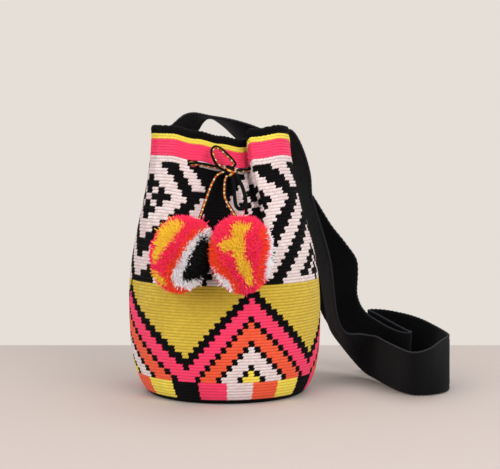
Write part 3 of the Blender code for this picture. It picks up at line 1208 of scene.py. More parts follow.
    def _rim(self, material: bpy.types.Material) -> bpy.types.Object:
        """The scalloped edging that closes the wall at the mouth.

        Args:
            material: The yarn's finish.

        Returns:
            The piece.
        """
        edging = bmesh.new()
        top = self.form.height
        line = [
            self.form.off_wall(
                self.chart.angle(number / self.rim_steps, top), top, -0.5 * self.form.wall
            )
            for number in range(self.chart.stitches * self.rim_steps)
        ]

        def radius(index: int) -> float:
            """The edging's radius, with a small bump for each pair of stitches."""
            wave = math.sin(math.pi * index / (2.0 * self.rim_steps))
            return self.rim_radius + self.scallop * abs(wave)

        self._bound_edge(edging, line, radius)
        bmesh.ops.recalc_face_normals(edging, faces=edging.faces)
        return new_object("crochet_rim", edging, [material])

    def _eyelets(self, material: bpy.types.Material) -> bpy.types.Object:
        """The bound edges of the eyelets.

        Args:
            material: The yarn's finish.

        Returns:
            The piece.
        """
        edging = bmesh.new()
        middle = self.form.eyelet_height
        reach = self.form.half_width(middle)
        for eyelet, _, _ in self.form.eyelets:
            line = []
            for number in range(self.eyelet_steps):
                turn = 2.0 * math.pi * number / self.eyelet_steps
                across = math.cos(turn) * (self.eyelet_half_width + self.eyelet_margin)
                up = math.sin(turn) * (self.eyelet_half_height + self.eyelet_margin)
                line.append(
                    self.form.off_wall(
                        eyelet + math.degrees(across / reach), middle + up, -0.5 * self.form.wall
                    )
                )
            self._bound_edge(
                edging, line, lambda index: self.bound_radius + self.bound_bump * (index % 2)
            )
        bmesh.ops.recalc_face_normals(edging, faces=edging.faces)
        return new_object("crochet_eyelets", edging, [material])


@dataclass
class BraidedCord:
    """A round braided cord: black, with a spine of bright beads along one side."""

    name: str
    points: list[Vector]
    spine: Callable[[Vector], Vector]
    bright: bool = True
    diameter: float = 0.004
    step: float = 0.0008
    sides: int = 14
    bead_length: float = 0.0031
    spine_sides: int = 2
    spine_margin: float = 0.2
    spine_pull: float = 0.5
    spine_least: float = 0.15
    spine_ease: float = 0.3
    bead_reach: float = 1.02
    bead_swell: float = 0.06
    gap: float = 0.2
    weave_turns: float = 3.0
    weave_pitch: float = 2600.0
    weave_relief: float = 0.07
    plain_share: float = 0.72
    beads: tuple[tuple[int, int, int], ...] = (
        (240, 214, 158),
        (226, 104, 58),
        (238, 192, 96),
        (214, 84, 48),
    )

    def _lateral(self, points: Sequence[Vector]) -> list[tuple[Vector, Vector]]:
        """Two directions across the cord at each point, the first towards its spine.

        Args:
            points: The cord's points.

        Returns:
            The pairs of directions.
        """
        pairs = []
        last = Vector((1.0, 0.0, 0.0))
        for index, point in enumerate(points):
            ahead = points[min(index + 1, len(points) - 1)] - points[max(index - 1, 0)]
            tangent = ahead.normalized()
            wanted = self.spine(point)
            wanted = wanted - tangent * wanted.dot(tangent)
            carried = last - tangent * last.dot(tangent)
            share = smooth_step((wanted.length - self.spine_least) / self.spine_ease)
            mixed = carried
            if wanted.length > 1e-6:
                mixed = carried.normalized().lerp(wanted.normalized(), share * self.spine_pull)
            first = (mixed - tangent * mixed.dot(tangent)).normalized()
            pairs.append((first, tangent.cross(first)))
            last = first
        return pairs

    def build(self, material: bpy.types.Material) -> bpy.types.Object:
        """Braid the cord.

        Args:
            material: The braid's finish.

        Returns:
            The piece.
        """
        points = even_points(self.points, self.step)
        pairs = self._lateral(points)
        count = len(points) - 1
        tube = bmesh.new()
        colour = tube.faces.layers.float_color.new("yarn")
        corners = grid(tube, count, self.sides)
        for vertex, (index, side) in corners.items():
            turn = 2.0 * math.pi * (side % self.sides) / self.sides
            along = index * self.step
            strand, shift = self.weave_turns * turn, along * self.weave_pitch
            weave = math.cos(strand + shift) * math.cos(strand - shift)
            reach = 0.5 * self.diameter * (1.0 - self.weave_relief + self.weave_relief * weave)
            from_spine = min(side % self.sides, self.sides - side % self.sides)
            if self.bright and from_spine <= self.spine_sides // 2:
                swell = abs(math.sin(math.pi * along / self.bead_length))
                reach *= self.bead_reach + self.bead_swell * swell
            first, second = pairs[index]
            vertex.co = (
                points[index]
                + first * (reach * math.cos(turn))
                + second * (reach * math.sin(turn))
            )
        chooser = random.Random(self.name)
        flecks = [chooser.random() for _ in range(count + 1)]
        for face in tube.faces:
            index, side = first_corner(face, corners)
            away = min(side + 0.5, self.sides - side - 0.5)
            bead, part = divmod(index * self.step / self.bead_length, 1.0)
            bead = int(bead)
            shown = Yarn.BLACK.value
            if self.bright:
                beaded = part >= self.gap and away < 0.5 * self.spine_sides + self.spine_margin
            else:
                beaded = away < 1.0 and flecks[bead] > self.plain_share
            if beaded:
                shown = self.beads[bead % len(self.beads)]
            face[colour] = linear(shown)
        bmesh.ops.remove_doubles(tube, verts=tube.verts, dist=1e-7)
        open_edges = [edge for edge in tube.edges if edge.is_boundary]
        capped = bmesh.ops.holes_fill(tube, edges=open_edges, sides=0)
        for face in capped["faces"]:
            face[colour] = linear(Yarn.BLACK.value)
        bmesh.ops.recalc_face_normals(tube, faces=tube.faces)
        return new_object(self.name, tube, [material])


@dataclass
class DrawnBow:
    """The drawstring, its knot, the two loops of the bow and the two tails."""

    form: BagForm
    cord: float = 0.004
    clearance: float = 0.0014
    inner_hug: float = 0.2
    step_angle: float = 8.5
    knot_share: float = 8.0
    lead: float = 0.003
    knot_angle: float = 4.8
    knot_drop: float = 0.034
    knot_radius: float = 0.0065
    seat_gap: float = 0.0004
    wall_gap: float = 0.0008
    curve_steps: int = 8
    path_step: float = 0.002
    knot_core: float = 0.62
    wrap_radius: float = 0.0019
    wrap_inset: float = 0.0021
    wrap_steps: int = 32
    wrap_sides: int = 10
    wrap_bead_steps: int = 3
    wrap_spine: float = 1.2
    # Axis of each wrap, its shift along it, and whether its spine shows
    wraps: tuple[tuple[Place, float, bool], ...] = (
        ((0.35, -0.25, 0.9), 0.0018, True),
        ((0.9, -0.3, 0.25), -0.0006, False),
        ((-0.55, -0.35, 0.75), -0.0016, True),
    )
    # Cords leave the knot in these directions and pass these places, in metres from
    # the knot's middle
    drawstring_ways: tuple[Place, Place] = ((1.0, 0.15, -0.05), (-0.95, 0.15, 0.40))
    upper_ways: tuple[Place, Place] = ((-0.70, -0.65, 0.20), (0.50, -0.50, 0.70))
    upper_loop: tuple[Place, ...] = (
        (-0.0100, -0.0085, 0.0040),
        (-0.0140, -0.0075, 0.0095),
        (-0.0166, -0.0062, 0.0155),
        (-0.0170, -0.0055, 0.0205),
        (-0.0140, -0.0050, 0.0236),
        (-0.0085, -0.0050, 0.0215),
        (-0.0030, -0.0050, 0.0165),
        (0.0022, -0.0052, 0.0112),
    )
    upper_middle: Place = (-0.0075, -0.006, 0.013)
    inward_share: float = 0.9
    outward_share: float = 0.7
    front_way: Place = (-0.1, -1.0, 0.15)
    back_way: Place = (0.2, 1.0, 0.0)
    lower_ways: tuple[Place, Place] = ((0.72, -0.52, -0.48), (0.33, -0.52, -0.80))
    lower_loop: tuple[Place, ...] = (
        (0.0092, -0.0066, -0.0090),
        (0.0125, -0.0090, -0.0155),
        (0.0152, -0.0122, -0.0245),
        (0.0160, -0.0145, -0.0315),
        (0.0146, -0.0157, -0.0353),
        (0.0110, -0.0162, -0.0370),
        (0.0074, -0.0156, -0.0353),
        (0.0058, -0.0144, -0.0315),
        (0.0049, -0.0122, -0.0245),
        (0.0042, -0.0095, -0.0170),
    )
    left_way: Place = (-0.85, -0.50, -0.10)
    left_tail: tuple[Place, ...] = (
        (-0.0128, -0.0085, -0.0050),
        (-0.0178, -0.0140, -0.0142),
        (-0.0230, -0.0240, -0.0290),
        (-0.0272, -0.0352, -0.0422),
        (-0.0294, -0.0442, -0.0497),
    )
    right_way: Place = (-0.45, -0.45, -0.77)
    right_tail: tuple[Place, ...] = (
        (-0.0045, -0.0090, -0.0100),
        (-0.0048, -0.0180, -0.0170),
        (-0.0044, -0.0260, -0.0240),
        (-0.0016, -0.0340, -0.0309),
        (0.0039, -0.0440, -0.0391),
        (0.0078, -0.0512, -0.0462),
    )

    def knot(self) -> Vector:
        """The knot's centre."""
        height = self.form.height - self.knot_drop
        return self.form.off_wall(self.knot_angle, height, self.knot_radius + self.wall_gap)

    def on_knot(self, way: Place) -> Vector:
        """Where a cord of that direction meets the knot."""
        return self.knot() + Vector(way).normalized() * (self.knot_radius + self.seat_gap)

    def leads(self, way: Place) -> list[Vector]:
        """The first two points of a cord that leaves the knot."""
        start = self.on_knot(way)
        return [start, start + Vector(way).normalized() * self.lead]

    def _beside(self, angle: float, side: float) -> Vector:
        """A point of the drawstring outside or inside the wall.

        Args:
            angle: The angle from the front, in degrees.
            side: 1 for outside and -1 for inside.

        Returns:
            The point.
        """
        reach = 0.5 * self.form.wall + 0.5 * self.cord + self.clearance
        distance = side * reach - 0.5 * self.form.wall
        return self.form.off_wall(angle, self.form.eyelet_height, distance)

    def _run(self, start: float, end: float, outer: bool) -> list[Vector]:
        """One run of the drawstring between two eyelets.

        Args:
            start: The angle where it starts.
            end: The angle where it ends.
            outer: Whether it lies outside the wall.

        Returns:
            Its points.
        """
        runs = max(math.ceil((end - start) / self.step_angle), 1)
        side = 1.0 if outer else -1.0
        first, last = self._beside(start, side), self._beside(end, side)
        points = []
        for number in range(runs + 1):
            share = number / runs
            near_wall = self._beside(start + (end - start) * share, side)
            straight = first.lerp(last, share)
            points.append(near_wall if outer else straight.lerp(near_wall, self.inner_hug))
        return points

    def drawstring_points(self) -> list[Vector]:
        """The drawstring's route from the knot round the mouth to the knot.

        Returns:
            The route.
        """
        starts = [self.knot_angle + self.knot_share]
        starts += [angle + after for angle, _, after in self.form.eyelets]
        ends = [angle - before for angle, before, _ in self.form.eyelets]
        ends += [360.0 + self.knot_angle - self.knot_share]
        points = self.leads(self.drawstring_ways[0])
        for number, (start, end) in enumerate(zip(starts, ends)):
            points += self._run(start, end, number % 2 == 0)
        return points + self.leads(self.drawstring_ways[1])[::-1]

    def loop_points(self, ways: tuple[Place, Place], places: Sequence[Place]) -> list[Vector]:
        """The route of a loop from the knot and back to it.

        Args:
            ways: The directions in which its ends leave the knot.
            places: The places that it passes, from the knot's middle.

        Returns:
            The route.
        """
        points = self.leads(ways[0])
        points += [self.knot() + Vector(place) for place in places]
        points += self.leads(ways[1])[::-1]
        return smooth_line(points, self.curve_steps)

    def tail_points(self, way: Place, places: Sequence[Place]) -> list[Vector]:
        """The route of a tail from the knot into a pompom."""
        points = [self.on_knot(way)] + [self.knot() + Vector(place) for place in places]
        return smooth_line(points, self.curve_steps)

    def outward(self, point: Vector) -> Vector:
        """Away from the bag's axis and down, where the drawstring's spine shows.

        Args:
            point: A point of the cord.

        Returns:
            The direction, one unit long.
        """
        away = Vector((point.x, point.y, 0.0)).normalized()
        down = Vector((0.0, 0.0, -self.outward_share))
        return (away * self.outward_share + down).normalized()

    def front(self, point: Vector) -> Vector:
        """Towards the front and a little up, where the bow's spines show."""
        return Vector(self.front_way).normalized()

    def inward(self, point: Vector) -> Vector:
        """Towards the front and the middle of the upper loop.

        Args:
            point: A point of the cord.

        Returns:
            The direction, one unit long.
        """
        middle = self.knot() + Vector(self.upper_middle)
        pull = (middle - point).normalized() * self.inward_share
        return (pull + self.front(point)).normalized()

    def back(self, point: Vector) -> Vector:
        """Towards the bag, where the lower loop's spine is hidden."""
        return Vector(self.back_way).normalized()

    def build(self, poms: dict[str, Pompom]) -> None:
        """Braid and tie everything.

        Args:
            poms: The pompoms by side; not used.
        """
        finish = BraidFinish().material("braided_cord")
        drawstring = BraidedCord("drawstring_braid", self.drawstring_points(), self.outward)
        held = drawstring.build(finish)
        knot = self._knot(finish)
        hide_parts("drawstring")
        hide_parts("bow_knot")
        for piece in (held, knot):
            seat(piece, BAG_BODY)
        loops = (
            ("upper", self.upper_ways, self.upper_loop, self.inward, True),
            ("lower", self.lower_ways, self.lower_loop, self.back, False),
        )
        for name, ways, places, spine, bright in loops:
            points = self.loop_points(ways, places)
            cord = BraidedCord(f"bow_loop_{name}_braid", points, spine, bright)
            piece = cord.build(finish)
            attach(piece, BAG_BODY)
            self._declare(piece, points, f"bow_loop_{name}")
        tails = (
            ("left", self.left_way, self.left_tail, LEFT_BODY),
            ("right", self.right_way, self.right_tail, RIGHT_BODY),
        )
        for side, way, places, body in tails:
            points = self.tail_points(way, places)
            piece = BraidedCord(f"{side}_tail_braid", points, self.front).build(finish)
            bend = self.knot() + Vector(places[1])
            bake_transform(piece)
            self._declare(piece, points, f"{side}_tail")

    def _declare(
        self,
        piece: bpy.types.Object,
        points: list[Vector],
        node: str,
    ) -> None:
        """Hide the model's cord that this one stands for, and log this cord's triangles.

        Args:
            piece: The cord.
            points: Its route.
            node: The model's cord that it stands for.
        """
        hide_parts(node)
        line_length(points)
        [tuple(point) for point in even_points(points, self.path_step)]
        report(piece)

    def _knot(self, material: bpy.types.Material) -> bpy.types.Object:
        """The knot: three wraps of the cord round a core.

        Args:
            material: The braid's finish.

        Returns:
            The piece.
        """
        lump = bmesh.new()
        colour = lump.faces.layers.float_color.new("yarn")
        centre = self.knot()
        core = self.knot_core * self.knot_radius
        bmesh.ops.create_icosphere(lump, subdivisions=3, radius=core)
        bmesh.ops.translate(lump, vec=centre, verts=lump.verts)
        for face in lump.faces:
            face[colour] = linear(Yarn.BLACK.value)
        beads = BraidedCord.beads
        steps, sides = self.wrap_steps, self.wrap_sides
        reach = self.knot_radius - self.wrap_inset
        for way, shift, bright in self.wraps:
            axis = Vector(way).normalized()
            side = axis.orthogonal().normalized()
            other = axis.cross(side)
            corners = grid(lump, steps, sides)
            for vertex, (index, edge) in corners.items():
                turn = 2.0 * math.pi * (index % steps) / steps
                twist = 2.0 * math.pi * (edge % sides) / sides
                radial = side * math.cos(turn) + other * math.sin(turn)
                vertex.co = (
                    centre
                    + axis * (shift + self.wrap_radius * math.sin(twist))
                    + radial * (reach + self.wrap_radius * math.cos(twist))
                )
            for face in {face for vertex in corners for face in vertex.link_faces}:
                index, edge = first_corner(face, corners)
                shown = Yarn.BLACK.value
                if bright and min(edge + 0.5, sides - edge - 0.5) < self.wrap_spine:
                    shown = beads[index // self.wrap_bead_steps % len(beads)]
                face[colour] = linear(shown)
            bmesh.ops.remove_doubles(lump, verts=list(corners), dist=1e-7)
        bmesh.ops.recalc_face_normals(lump, faces=lump.faces)
        return new_object("bow_knot_wraps", lump, [material])


@dataclass
class Patch:
    """A patch of one yarn on a pompom, as seen from the front."""

    yarn: Yarn
    outline: tuple[Pixel, ...]

    def holds(self, across: float, up: float) -> bool:
        """Whether a place lies inside the outline.

        Args:
            across: The place's share of the pompom's half width.
            up: Its share of the half height.

        Returns:
            True inside the outline.
        """
        inside = False
        previous = self.outline[-1]
        for corner in self.outline:
            (x0, y0), (x1, y1) = previous, corner
            if (y0 > up) != (y1 > up) and across < (x1 - x0) * (up - y0) / (y1 - y0) + x0:
                inside = not inside
            previous = corner
        return inside


@dataclass
class Pompom:
    """A dense pompom of cut yarn, with patches of five yarns."""

    side: str
    body: str
    form: BagForm
    knot: Vector
    angle: float
    height: float
    stand_off: float
    shift: Place
    patches: tuple[Patch, ...]
    ground: Yarn = Yarn.POMPOM_PINK
    half_width: float = 0.0285
    half_depth: float = 0.025
    half_length: float = 0.0362
    dimple: float = 0.16
    dimple_reach: float = 0.42
    tip: float = 0.06
    tip_reach: float = 0.7
    trim: float = 0.03
    upright: float = 0.5
    pile: float = 0.0026
    pile_spread: float = 0.0009
    splay: float = 0.0010
    strand_tip: float = 0.5
    shortest: float = 0.001
    core: float = 0.965
    stray_share: float = 0.003
    stray_top_share: float = 0.05
    stray_top: float = 0.7
    stray_lengths: tuple[float, float] = (0.002, 0.005)
    patch_half_width: float = 0.0310
    patch_half_height: float = 0.0375
    patch_fray: float = 0.035
    patch_slant: float = 0.55
    finest: int = 6
    pieces: list[bpy.types.Object] = field(default_factory=list)

    def __post_init__(self) -> None:
        """Place the pompom's own frame."""
        self.centre = self.form.off_wall(self.angle, self.height, self.half_depth + self.stand_off)
        along = (self.knot - self.centre).normalized()
        self.along = along.lerp(Vector((0.0, 0.0, 1.0)), self.upright).normalized()
        outward = self.form.normal(self.angle, self.height)
        self.across = outward.cross(self.along).normalized()
        self.outward = self.along.cross(self.across)

    def reach(self, polar: float) -> float:
        """Share of the full size at an angle from the cord.

        Args:
            polar: The angle, in radians.

        Returns:
            The share.
        """
        dimple = self.dimple * bell(polar, 0.0, self.dimple_reach)
        tip = self.tip * bell(polar, math.pi, self.tip_reach)
        return 1.0 - self.trim - dimple + tip

    def _surface(self, way: Vector, share: float) -> Vector:
        """A point of the solid's surface, or a share of the way to it.

        Args:
            way: The direction in the pompom's own axes.
            share: The share of the way.

        Returns:
            The point.
        """
        reach = share * self.reach(math.acos(max(min(way.z, 1.0), -1.0)))
        return (
            self.centre
            + self.across * (way.x * reach * self.half_width)
            + self.outward * (way.y * reach * self.half_depth)
            + self.along * (way.z * reach * self.half_length)
        )

    def _yarn(self, place: Vector, chooser: random.Random) -> Yarn:
        """The yarn of the strands at a place.

        Args:
            place: The place.
            chooser: The source of the frayed edges.

        Returns:
            The yarn.
        """
        offset = place - self.centre - Vector(self.shift)
        depth = offset.dot(self.outward) / self.half_depth
        across = offset.x / self.patch_half_width + chooser.gauss(0.0, self.patch_fray)
        up = offset.z / self.patch_half_height + chooser.gauss(0.0, self.patch_fray)
        if depth < 0.0:
            across += self.patch_slant * depth
        for patch in self.patches:
            if patch.holds(across, up):
                return patch.yarn
        return self.ground

    def build(self, finishes: dict[Yarn, bpy.types.Material]) -> None:
        """Make the pompom's strands.

        Args:
            finishes: The finish of each yarn.
        """
        chooser = random.Random(self.side)
        ball = bmesh.new()
        bmesh.ops.create_icosphere(ball, subdivisions=self.finest, radius=1.0)
        tone = ball.faces.layers.float.new("tone")
        yarns = list(finishes)
        for vertex in ball.verts:
            vertex.co = self._surface(vertex.co.normalized(), self.core) + Vector(self.shift)
        ball.normal_update()
        for face in ball.faces:
            face[tone] = chooser.random()
            tip = face.calc_center_median() + face.normal * self.pile
            yarn = self._yarn(tip, chooser)
            face.material_index = yarns.index(yarn)
        raised = bmesh.ops.extrude_discrete_faces(ball, faces=list(ball.faces))
        for face in raised["faces"]:
            middle = face.calc_center_median()
            long = chooser.gauss(self.pile, self.pile_spread)
            rise = (middle - self.centre).dot(self.along) / self.half_length
            high = max(rise - self.stray_top, 0.0)
            if chooser.random() < self.stray_share + self.stray_top_share * high:
                long += chooser.uniform(*self.stray_lengths)
            push = face.normal * max(long, self.shortest)
            push += Vector([chooser.gauss(0.0, self.splay) for _ in range(3)])
            for vertex in face.verts:
                vertex.co = middle + (vertex.co - middle) * self.strand_tip + push
        for number, yarn in enumerate(yarns):
            part = one_yarn(ball, number)
            if not part.faces:
                part.free()
                continue
            name = f"{self.side}_{yarn.label}"
            piece = new_object(name, part, [finishes[yarn]], smooth=False)
            seat(piece, self.body)
            self.pieces.append(piece)
        ball.free()
        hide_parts(f"{self.side}_pompom")


def outline(middle: Pixel, half: Pixel, corners: Sequence[Pixel]) -> tuple[Pixel, ...]:
    """Turn a patch drawn on a card into shares of the pompom's half sizes.

    Args:
        middle: The card's middle.
        half: The pompom's half width and half height on the card.
        corners: The patch's corners, with y downwards.

    Returns:
        The corners, with y upwards.
    """
    return tuple(((x - middle[0]) / half[0], (middle[1] - y) / half[1]) for x, y in corners)


# Each card's middle, and the pompom's half width and half height on it
LEFT_CARD = ((31.0, 39.0), (32.0, 39.0))
RIGHT_CARD = ((33.5, 41.0), (33.5, 41.0))


def left_patches() -> tuple[Patch, ...]:
    """The left pompom's patches, the topmost first.

    Returns:
        The patches.
    """
    drawn = (
        (Yarn.POMPOM_BLACK, ((54, 20), (47, 28), (42, 36), (38, 45), (35, 53), (31, 63), (40, 66),
                             (50, 64), (58, 58), (66, 50), (70, 40), (60, 34), (56, 28))),
        (Yarn.POMPOM_WHITE, ((56, 15), (46, 20), (37, 29), (33, 36), (30, 44), (27, 49), (24, 53),
                             (20, 65), (24, 71), (38, 75), (50, 73), (58, 66), (70, 57),
                             (70, 22))),
        (Yarn.POMPOM_AMBER, ((14, 11), (26, 6), (33, 10), (29, 17), (24, 24), (16, 32), (11, 39),
                             (8, 45), (7, 49), (3, 45), (4, 37), (6, 27), (8, 17))),
        (Yarn.POMPOM_ORANGE, ((52, 13), (60, 18), (48, 22), (40, 29), (34, 39), (30, 48), (26, 56),
                              (23, 66), (30, 73), (50, 75), (64, 64), (64, 80), (20, 80), (14, 66),
                              (17, 50), (24, 43), (30, 33), (36, 25), (42, 16))),
        (Yarn.POMPOM_AMBER, ((2, 55), (8, 57), (16, 66), (20, 72), (10, 70), (2, 62))),
    )
    return tuple(Patch(yarn, outline(*LEFT_CARD, corners)) for yarn, corners in drawn)


def right_patches() -> tuple[Patch, ...]:
    """The right pompom's patches, the topmost first.

    Returns:
        The patches.
    """
    drawn = (
        (Yarn.POMPOM_AMBER, ((25, 10), (31, 9), (38, 12), (43, 10), (42, 17), (36, 20), (36, 28),
                             (37, 33), (36, 40), (39, 46), (43, 50), (44, 56), (44, 63), (46, 72),
                             (41, 73), (36, 65), (31, 58), (28, 50), (26, 43), (24, 38), (15, 39),
                             (11, 35), (12, 30), (17, 26), (23, 24), (24, 18))),
        (Yarn.POMPOM_BLACK, ((66, 26), (72, 24), (72, 66), (62, 66), (65, 52), (66.5, 40))),
        (Yarn.POMPOM_WHITE, ((57, 8), (64, 14), (72, 22), (72, 70), (62, 78), (55, 80), (56, 66),
                             (57, 56), (60, 43), (62, 30), (58, 20))),
        (Yarn.POMPOM_WHITE, ((4, 54), (10, 60), (18, 66), (24, 71), (26, 78), (21, 80), (13, 74),
                             (5, 66))),
        (Yarn.POMPOM_ORANGE, ((51, 12), (59, 22), (61, 33), (58, 46), (55, 58), (54, 77), (49, 80),
                              (49, 58), (53, 43), (55, 33), (52, 23))),
        (Yarn.POMPOM_ORANGE, ((-4, 26), (6, 24), (9, 38), (15, 50), (23, 60), (31, 72), (31, 82),
                              (20, 80), (8, 58), (-4, 50))),
    )
    return tuple(Patch(yarn, outline(*RIGHT_CARD, corners)) for yarn, corners in drawn)


@dataclass
class WovenStrap:
    """The broad strap, from its seam on the left rim to its seam on the right rim."""

    form: BagForm
    width: float = 0.056
    thickness: float = 0.0026
    spans: int = 24
    rib: float = 0.0026
    rib_relief: float = 0.00016
    edge_bump: float = 0.0006
    edge_bumps: float = 230.0
    border: float = 0.0034
    # Colour of the strap's side faces, lighter than its faces: a painted highlight where light
    # catches the edges
    edge_thread: tuple[int, int, int] = (34, 34, 40)
    steps: int = 8
    seam_taper: float = 8.0 / 3.0
    seam_rise: float = 0.003
    wall_gap: float = 0.0008
    left_seam: tuple[float, float] = (-101.0, -146.0)
    right_seam: tuple[float, float] = (92.0, 122.0)
    # Stations of the route in millimetres: how far the place belongs to the mouth
    # (1) or to the floor (0), then its upper or outer edge, then its other edge
    route: tuple[tuple[float, Place, Place], ...] = (
        (1.0, (-69, 10, 3), (-41, 55, 1)),
        (1.0, (-56, 10, 14), (-33, 58, 10)),
        (1.0, (-44, 10, 24), (-28, 59, 18.5)),
        (1.0, (-33, 11, 26.5), (-22, 61, 23)),
        (1.0, (-17, 13, 23.5), (-14, 64, 22)),
        (1.0, (-4, 16, 21.5), (-2, 67, 13.5)),
        (1.0, (9, 21, 19), (12, 69, 1)),
        (1.0, (25, 28, 14.5), (27, 77, -10.5)),
        (1.0, (38, 35, 9.5), (41, 84, -21)),
        (1.0, (47, 47, 4.5), (48, 96, -28)),
        (1.0, (53, 61, -4), (53, 107, -34)),
        (0.9, (52, 73, 9), (48, 117, -25)),
        (0.8, (54, 80, 16), (43, 120, -20)),
        (0.7, (63, 80, 18), (40, 121, -13)),
        (0.55, (69, 78, 24), (37, 116, -2)),
        (0.4, (71, 76, 42), (33, 110, 19)),
        (0.25, (69, 72, 62), (26, 104, 42)),
        (0.1, (53, 70, 69), (13, 106, 54)),
        (0.0, (49, 66, 81), (14, 106, 56)),
        (0.0, (57, 58, 71), (33, 96, 34)),
        (0.0, (72, 44, 60), (61, 72, 14)),
        (0.0, (85, 34, 55), (82, 54, 4)),
        (0.0, (94.5, 31, 53), (94, 48, 2)),
        (0.0, (99, 37, 53), (99, 54, 2)),
        (0.0, (95, 45, 55), (95, 63, 3)),
        (0.0, (85, 54, 60), (85, 74, 8)),
        (0.0, (74, 64, 66), (73, 86, 14)),
        (0.0, (63, 76, 71), (60, 100, 20)),
        (0.0, (58, 85, 72), (56, 108, 21)),
        (0.0, (62, 93, 72), (61, 114, 20)),
        (0.0, (73, 95, 71.5), (73, 112, 18)),
        (0.0, (88, 91, 70), (89, 103, 15)),
        (0.0, (104, 80, 67), (105, 90, 12)),
        (0.0, (117, 68, 63), (119, 76, 8)),
        (0.0, (129, 46, 57.5), (131, 51, 3)),
        (0.0, (134, 14, 56), (136, 16, 1.5)),
        (0.0, (132, -9, 55.5), (131.5, -11, 1.5)),
        (0.0, (122, -33, 54.5), (122, -26, 1.5)),
        (0.0, (107, -56, 50), (109, -34, 1.5)),
        (0.0, (90, -64, 49), (94, -35, 1.5)),
        (0.0, (80, -48, 48.5), (83, -20, 1.5)),
        (0.0, (69, -11, 50), (72, 15, 1.5)),
        (0.0, (60, 20, 53), (62, 47, 3)),
        (0.0, (47.5, 29, 54), (50, 64, 9)),
        (0.0, (27, 16, 58), (30, 67, 32)),
        (0.0, (17, 12, 80), (13, 64, 58)),
        (0.15, (26, 10, 87), (18, 62, 72)),
        (0.4, (46, 10, 43), (36, 62, 31)),
        (0.75, (67, 13, -3), (57, 66, -10)),
        (0.9, (79, 14, -31), (69, 68, -37)),
        (1.0, (87.5, 14, -38), (75, 66, -42)),
        (1.0, (82.5, 12, -19), (71, 59, -22)),
        (1.0, (77, 10, -5), (67.5, 51, -7)),
        (1.0, (71.5, 7, 4.5), (64, 43, 3.5)),
        (1.0, (66.5, 4, 8.8), (59.5, 36, 8)),
    )

    def _station(self, share: float, place: Place) -> Vector:
        """A station's point in the frame of the bag.

        Args:
            share: How far the place belongs to the mouth.
            place: The place in millimetres.

        Returns:
            The point.
        """
        mouth = Vector((0.0, 0.0, self.form.height))
        floor = Vector((self.form.belly_half_width, 0.0, 0.0))
        return mouth * share + floor * (1.0 - share) + Vector(place) * MILLIMETRE

    def _seam(self, angles: tuple[float, float], share: float, up: float) -> Vector:
        """A point of a seam, at a share of the strap's width.

        Args:
            angles: The angles of the seam's two ends.
            share: The share of the strap's width.
            up: The height above the rim.

        Returns:
            The point.
        """
        angle = angles[0] + (angles[1] - angles[0]) * share
        foot = self.form.off_wall(angle, self.form.height, -0.5 * self.form.wall)
        return foot + Vector((0.0, 0.0, self.wall_gap + up))

    def rows(self) -> list[list[Vector]]:
        """Rows of points across the strap, a rib's half pitch apart.

        Returns:
            The rows.
        """
        outer = [self._station(share, edge) for share, edge, _ in self.route]
        inner = [self._station(share, edge) for share, _, edge in self.route]
        keep = [1.0, 1.0] + [share for share, _, _ in self.route] + [1.0, 1.0]
        for edges, place in ((outer, 0.0), (inner, 1.0)):
            edges[:0] = [self._seam(self.left_seam, place, up) for up in (0.0, self.seam_rise)]
            edges += [self._seam(self.right_seam, place, up) for up in (self.seam_rise, 0.0)]
        outer, inner = smooth_line(outer, self.steps), smooth_line(inner, self.steps)
        last = len(outer) - 1
        coarse = []
        for index, (first, second) in enumerate(zip(outer, inner)):
            station = index / self.steps
            low = min(int(station), len(keep) - 2)
            kept = keep[low] + (keep[low + 1] - keep[low]) * (station - low)
            gap = second - first
            free = smooth_step(min(index, last - index) / self.steps / self.seam_taper)
            spare = (self.width - gap.length) * free
            start = first - gap.normalized() * (spare * (1.0 - kept))
            end = second + gap.normalized() * (spare * kept)
            seam = self.left_seam if index < last - index else self.right_seam
            row = []
            for span in range(self.spans + 1):
                share = span / self.spans
                near = self._seam(seam, share, 0.0)
                straight = self._seam(seam, 0.0, 0.0).lerp(self._seam(seam, 1.0, 0.0), share)
                row.append(start.lerp(end, share) + (near - straight) * (1.0 - free))
            coarse.append(row)
        return self._even_rows(coarse)

    def _even_rows(self, coarse: list[list[Vector]]) -> list[list[Vector]]:
        """Space the rows evenly along the strap's middle.

        Args:
            coarse: The rows as the route gives them.

        Returns:
            The even rows.
        """
        middles = [row[self.spans // 2] for row in coarse]
        return [
            [start.lerp(end, share) for start, end in zip(coarse[at], coarse[at + 1])]
            for at, share in even_stops(middles, 0.5 * self.rib)
        ]

    def build(self) -> bpy.types.Object:
        """Weave the strap.

        Returns:
            The piece.
        """
        rows = self.rows()
        count = len(rows) - 1
        half = self.spans // 2
        ribbon = bmesh.new()
        bmesh.ops.create_grid(ribbon, x_segments=count, y_segments=self.spans, size=0.5)
        weave = ribbon.loops.layers.uv.new("weave")
        shares = {}
        for vertex in ribbon.verts:
            along, across = vertex.co.x + 0.5, vertex.co.y + 0.5
            shares[vertex] = (along, across)
            vertex.co = rows[round(along * count)][round(across * self.spans)]
        for face in ribbon.faces:
            for loop in face.loops:
                loop[weave].uv = shares[loop.vert]
        ribbon.normal_update()
        edge_span = self.border / self.width * self.spans
        for vertex in ribbon.verts:
            along, across = shares[vertex]
            row, span = round(along * count), round(across * self.spans)
            inside = min(span, self.spans - span)
            relief = self.rib_relief if row % 2 else -self.rib_relief
            relief = -2.0 * self.rib_relief if round(edge_span) == inside else relief
            vertex.co += vertex.normal * relief
            if inside == 0:
                line = rows[row]
                out = (line[span] - line[1 if span == 0 else span - 1]).normalized()
                bump = abs(math.sin(math.pi * self.edge_bumps * along))
                vertex.co += out * (self.edge_bump * bump)
        dark = WovenBlack().material("strap_weave_black")
